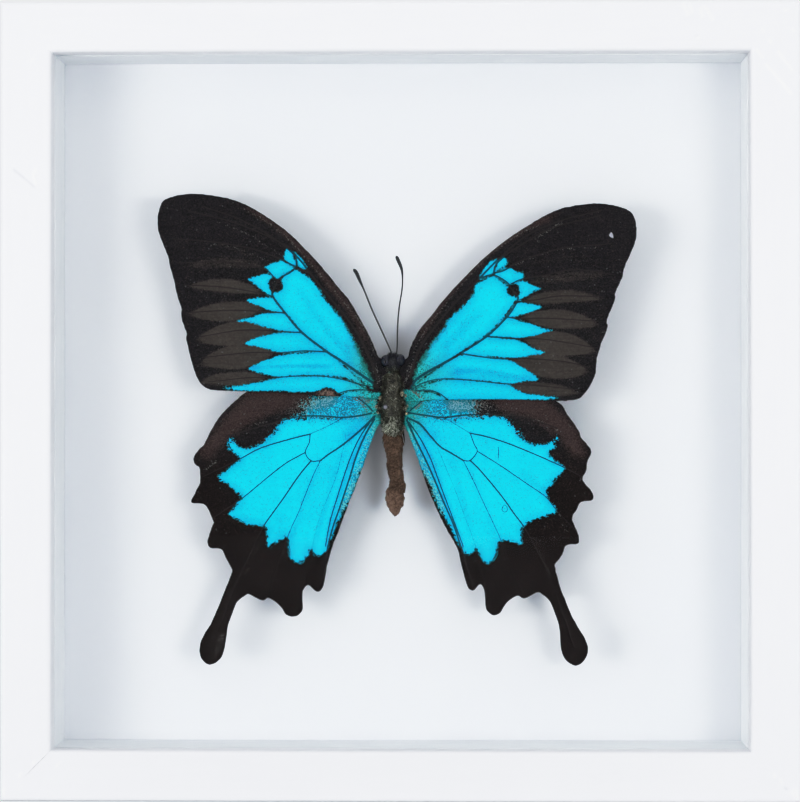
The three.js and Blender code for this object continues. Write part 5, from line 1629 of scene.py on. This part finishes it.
def make_frame():
    across, upright = paint_finish("paint_across", "x"), paint_finish("paint_upright", "z")
    for quarter, side in enumerate(("bottom", "right", "top", "left")):
        make_rail("frame_rail_" + side, quarter, upright if quarter % 2 else across)
    across, upright = strip_finish("card_across", "x"), strip_finish("card_upright", "z")
    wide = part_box("spacer_top")[1].x / MM
    low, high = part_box("spacer_left")
    tall = (high.z - low.z) / MM / 2 + STRIP_END_GROWTH
    make_strip("spacer_bottom", 0, wide, across)
    make_strip("spacer_right", 1, tall, upright)
    make_strip("spacer_top", 2, wide, across)
    make_strip("spacer_left", 3, tall, upright)
    paint_node("glass_pane", glass_finish())
    paint_node("mount_board", board_finish())
    paint_node("back_panel", hardboard_finish())
    steel = steel_finish()
    for number in range(1, 9):
        paint_node(f"retaining_tab_{number}", steel)
    for name in ("sawtooth_hanger", "hanger_nail_left", "hanger_nail_right"):
        paint_node(name, steel)


make_frame()


# ---- Floor, light and camera -----------------------------------------------------------
def make_floor():
    f = Finish("studio_floor")
    grain = f.noise(40, 3)
    colour = f.blend(grain, (0.88, 0.89, 0.90), (0.91, 0.92, 0.93))
    bpy.ops.mesh.primitive_plane_add(size=3, location=(0, 0, 0))
    floor = bpy.context.object
    floor.name = "floor"
    floor.data.materials.append(f.done(f.principled({"Base Color": colour,
                                                     "Roughness": 0.8})))
    floor.visible_glossy = False


def aim(thing, target):
    turn = (Vector(target) - thing.location).to_track_quat("-Z", "Y")
    thing.rotation_euler = turn.to_euler()


def softbox(name, place, size, power):
    light = bpy.data.lights.new(name, "AREA")
    light.shape, light.size, light.size_y = "RECTANGLE", size[0], size[1]
    light.energy = power
    thing = bpy.data.objects.new(name, light)
    bpy.context.scene.collection.objects.link(thing)
    thing.location = place
    aim(thing, (0, FRONT, CENTRE_Z))


def make_studio():
    """Pale surroundings, darker behind the camera so that the glass stays clear."""
    world = bpy.data.worlds.new("studio")
    world.use_nodes = True
    nodes, links = world.node_tree.nodes, world.node_tree.links
    background = nodes["Background"]
    way = nodes.new("ShaderNodeTexCoord")
    parts = nodes.new("ShaderNodeSeparateXYZ")
    links.new(way.outputs["Generated"], parts.inputs[0])
    fade = nodes.new("ShaderNodeMapRange")
    fade.interpolation_type = "SMOOTHSTEP"
    for key, value in {"From Min": -0.97, "From Max": -0.8, "To Min": BEHIND_CAMERA,
                       "To Max": WORLD_STRENGTH}.items():
        fade.inputs[key].default_value = value
    links.new(parts.outputs[1], fade.inputs["Value"])
    links.new(fade.outputs[0], background.inputs["Strength"])
    background.inputs["Color"].default_value = (0.95, 0.965, 1, 1)
    bpy.context.scene.world = world


def make_tones():
    """A camera-like curve: deep shadows, and highlights that roll off before white."""
    view = bpy.context.scene.view_settings
    view.view_transform = "Standard"
    view.use_curve_mapping = True
    curve = view.curve_mapping.curves[3]
    curve.points[0].location, curve.points[1].location = TONES[0], TONES[-1]
    for place in TONES[1:-1]:
        curve.points.new(*place)
    view.curve_mapping.update()


def make_lights():
    for name, place, size, power in SOFTBOXES:
        softbox(name, place, size, power)


def make_camera():
    view = bpy.data.cameras.new("camera")
    view.sensor_width, view.lens = 36, CAMERA_LENS
    camera = bpy.data.objects.new("camera", view)
    bpy.context.scene.collection.objects.link(camera)
    camera.location = (CAMERA_SIDE, FRONT - CAMERA_DISTANCE, CENTRE_Z - CAMERA_DROP)
    aim(camera, (0, FRONT, CENTRE_Z))
    bpy.context.scene.camera = camera


make_floor()
make_studio()
make_tones()
make_lights()
make_camera()
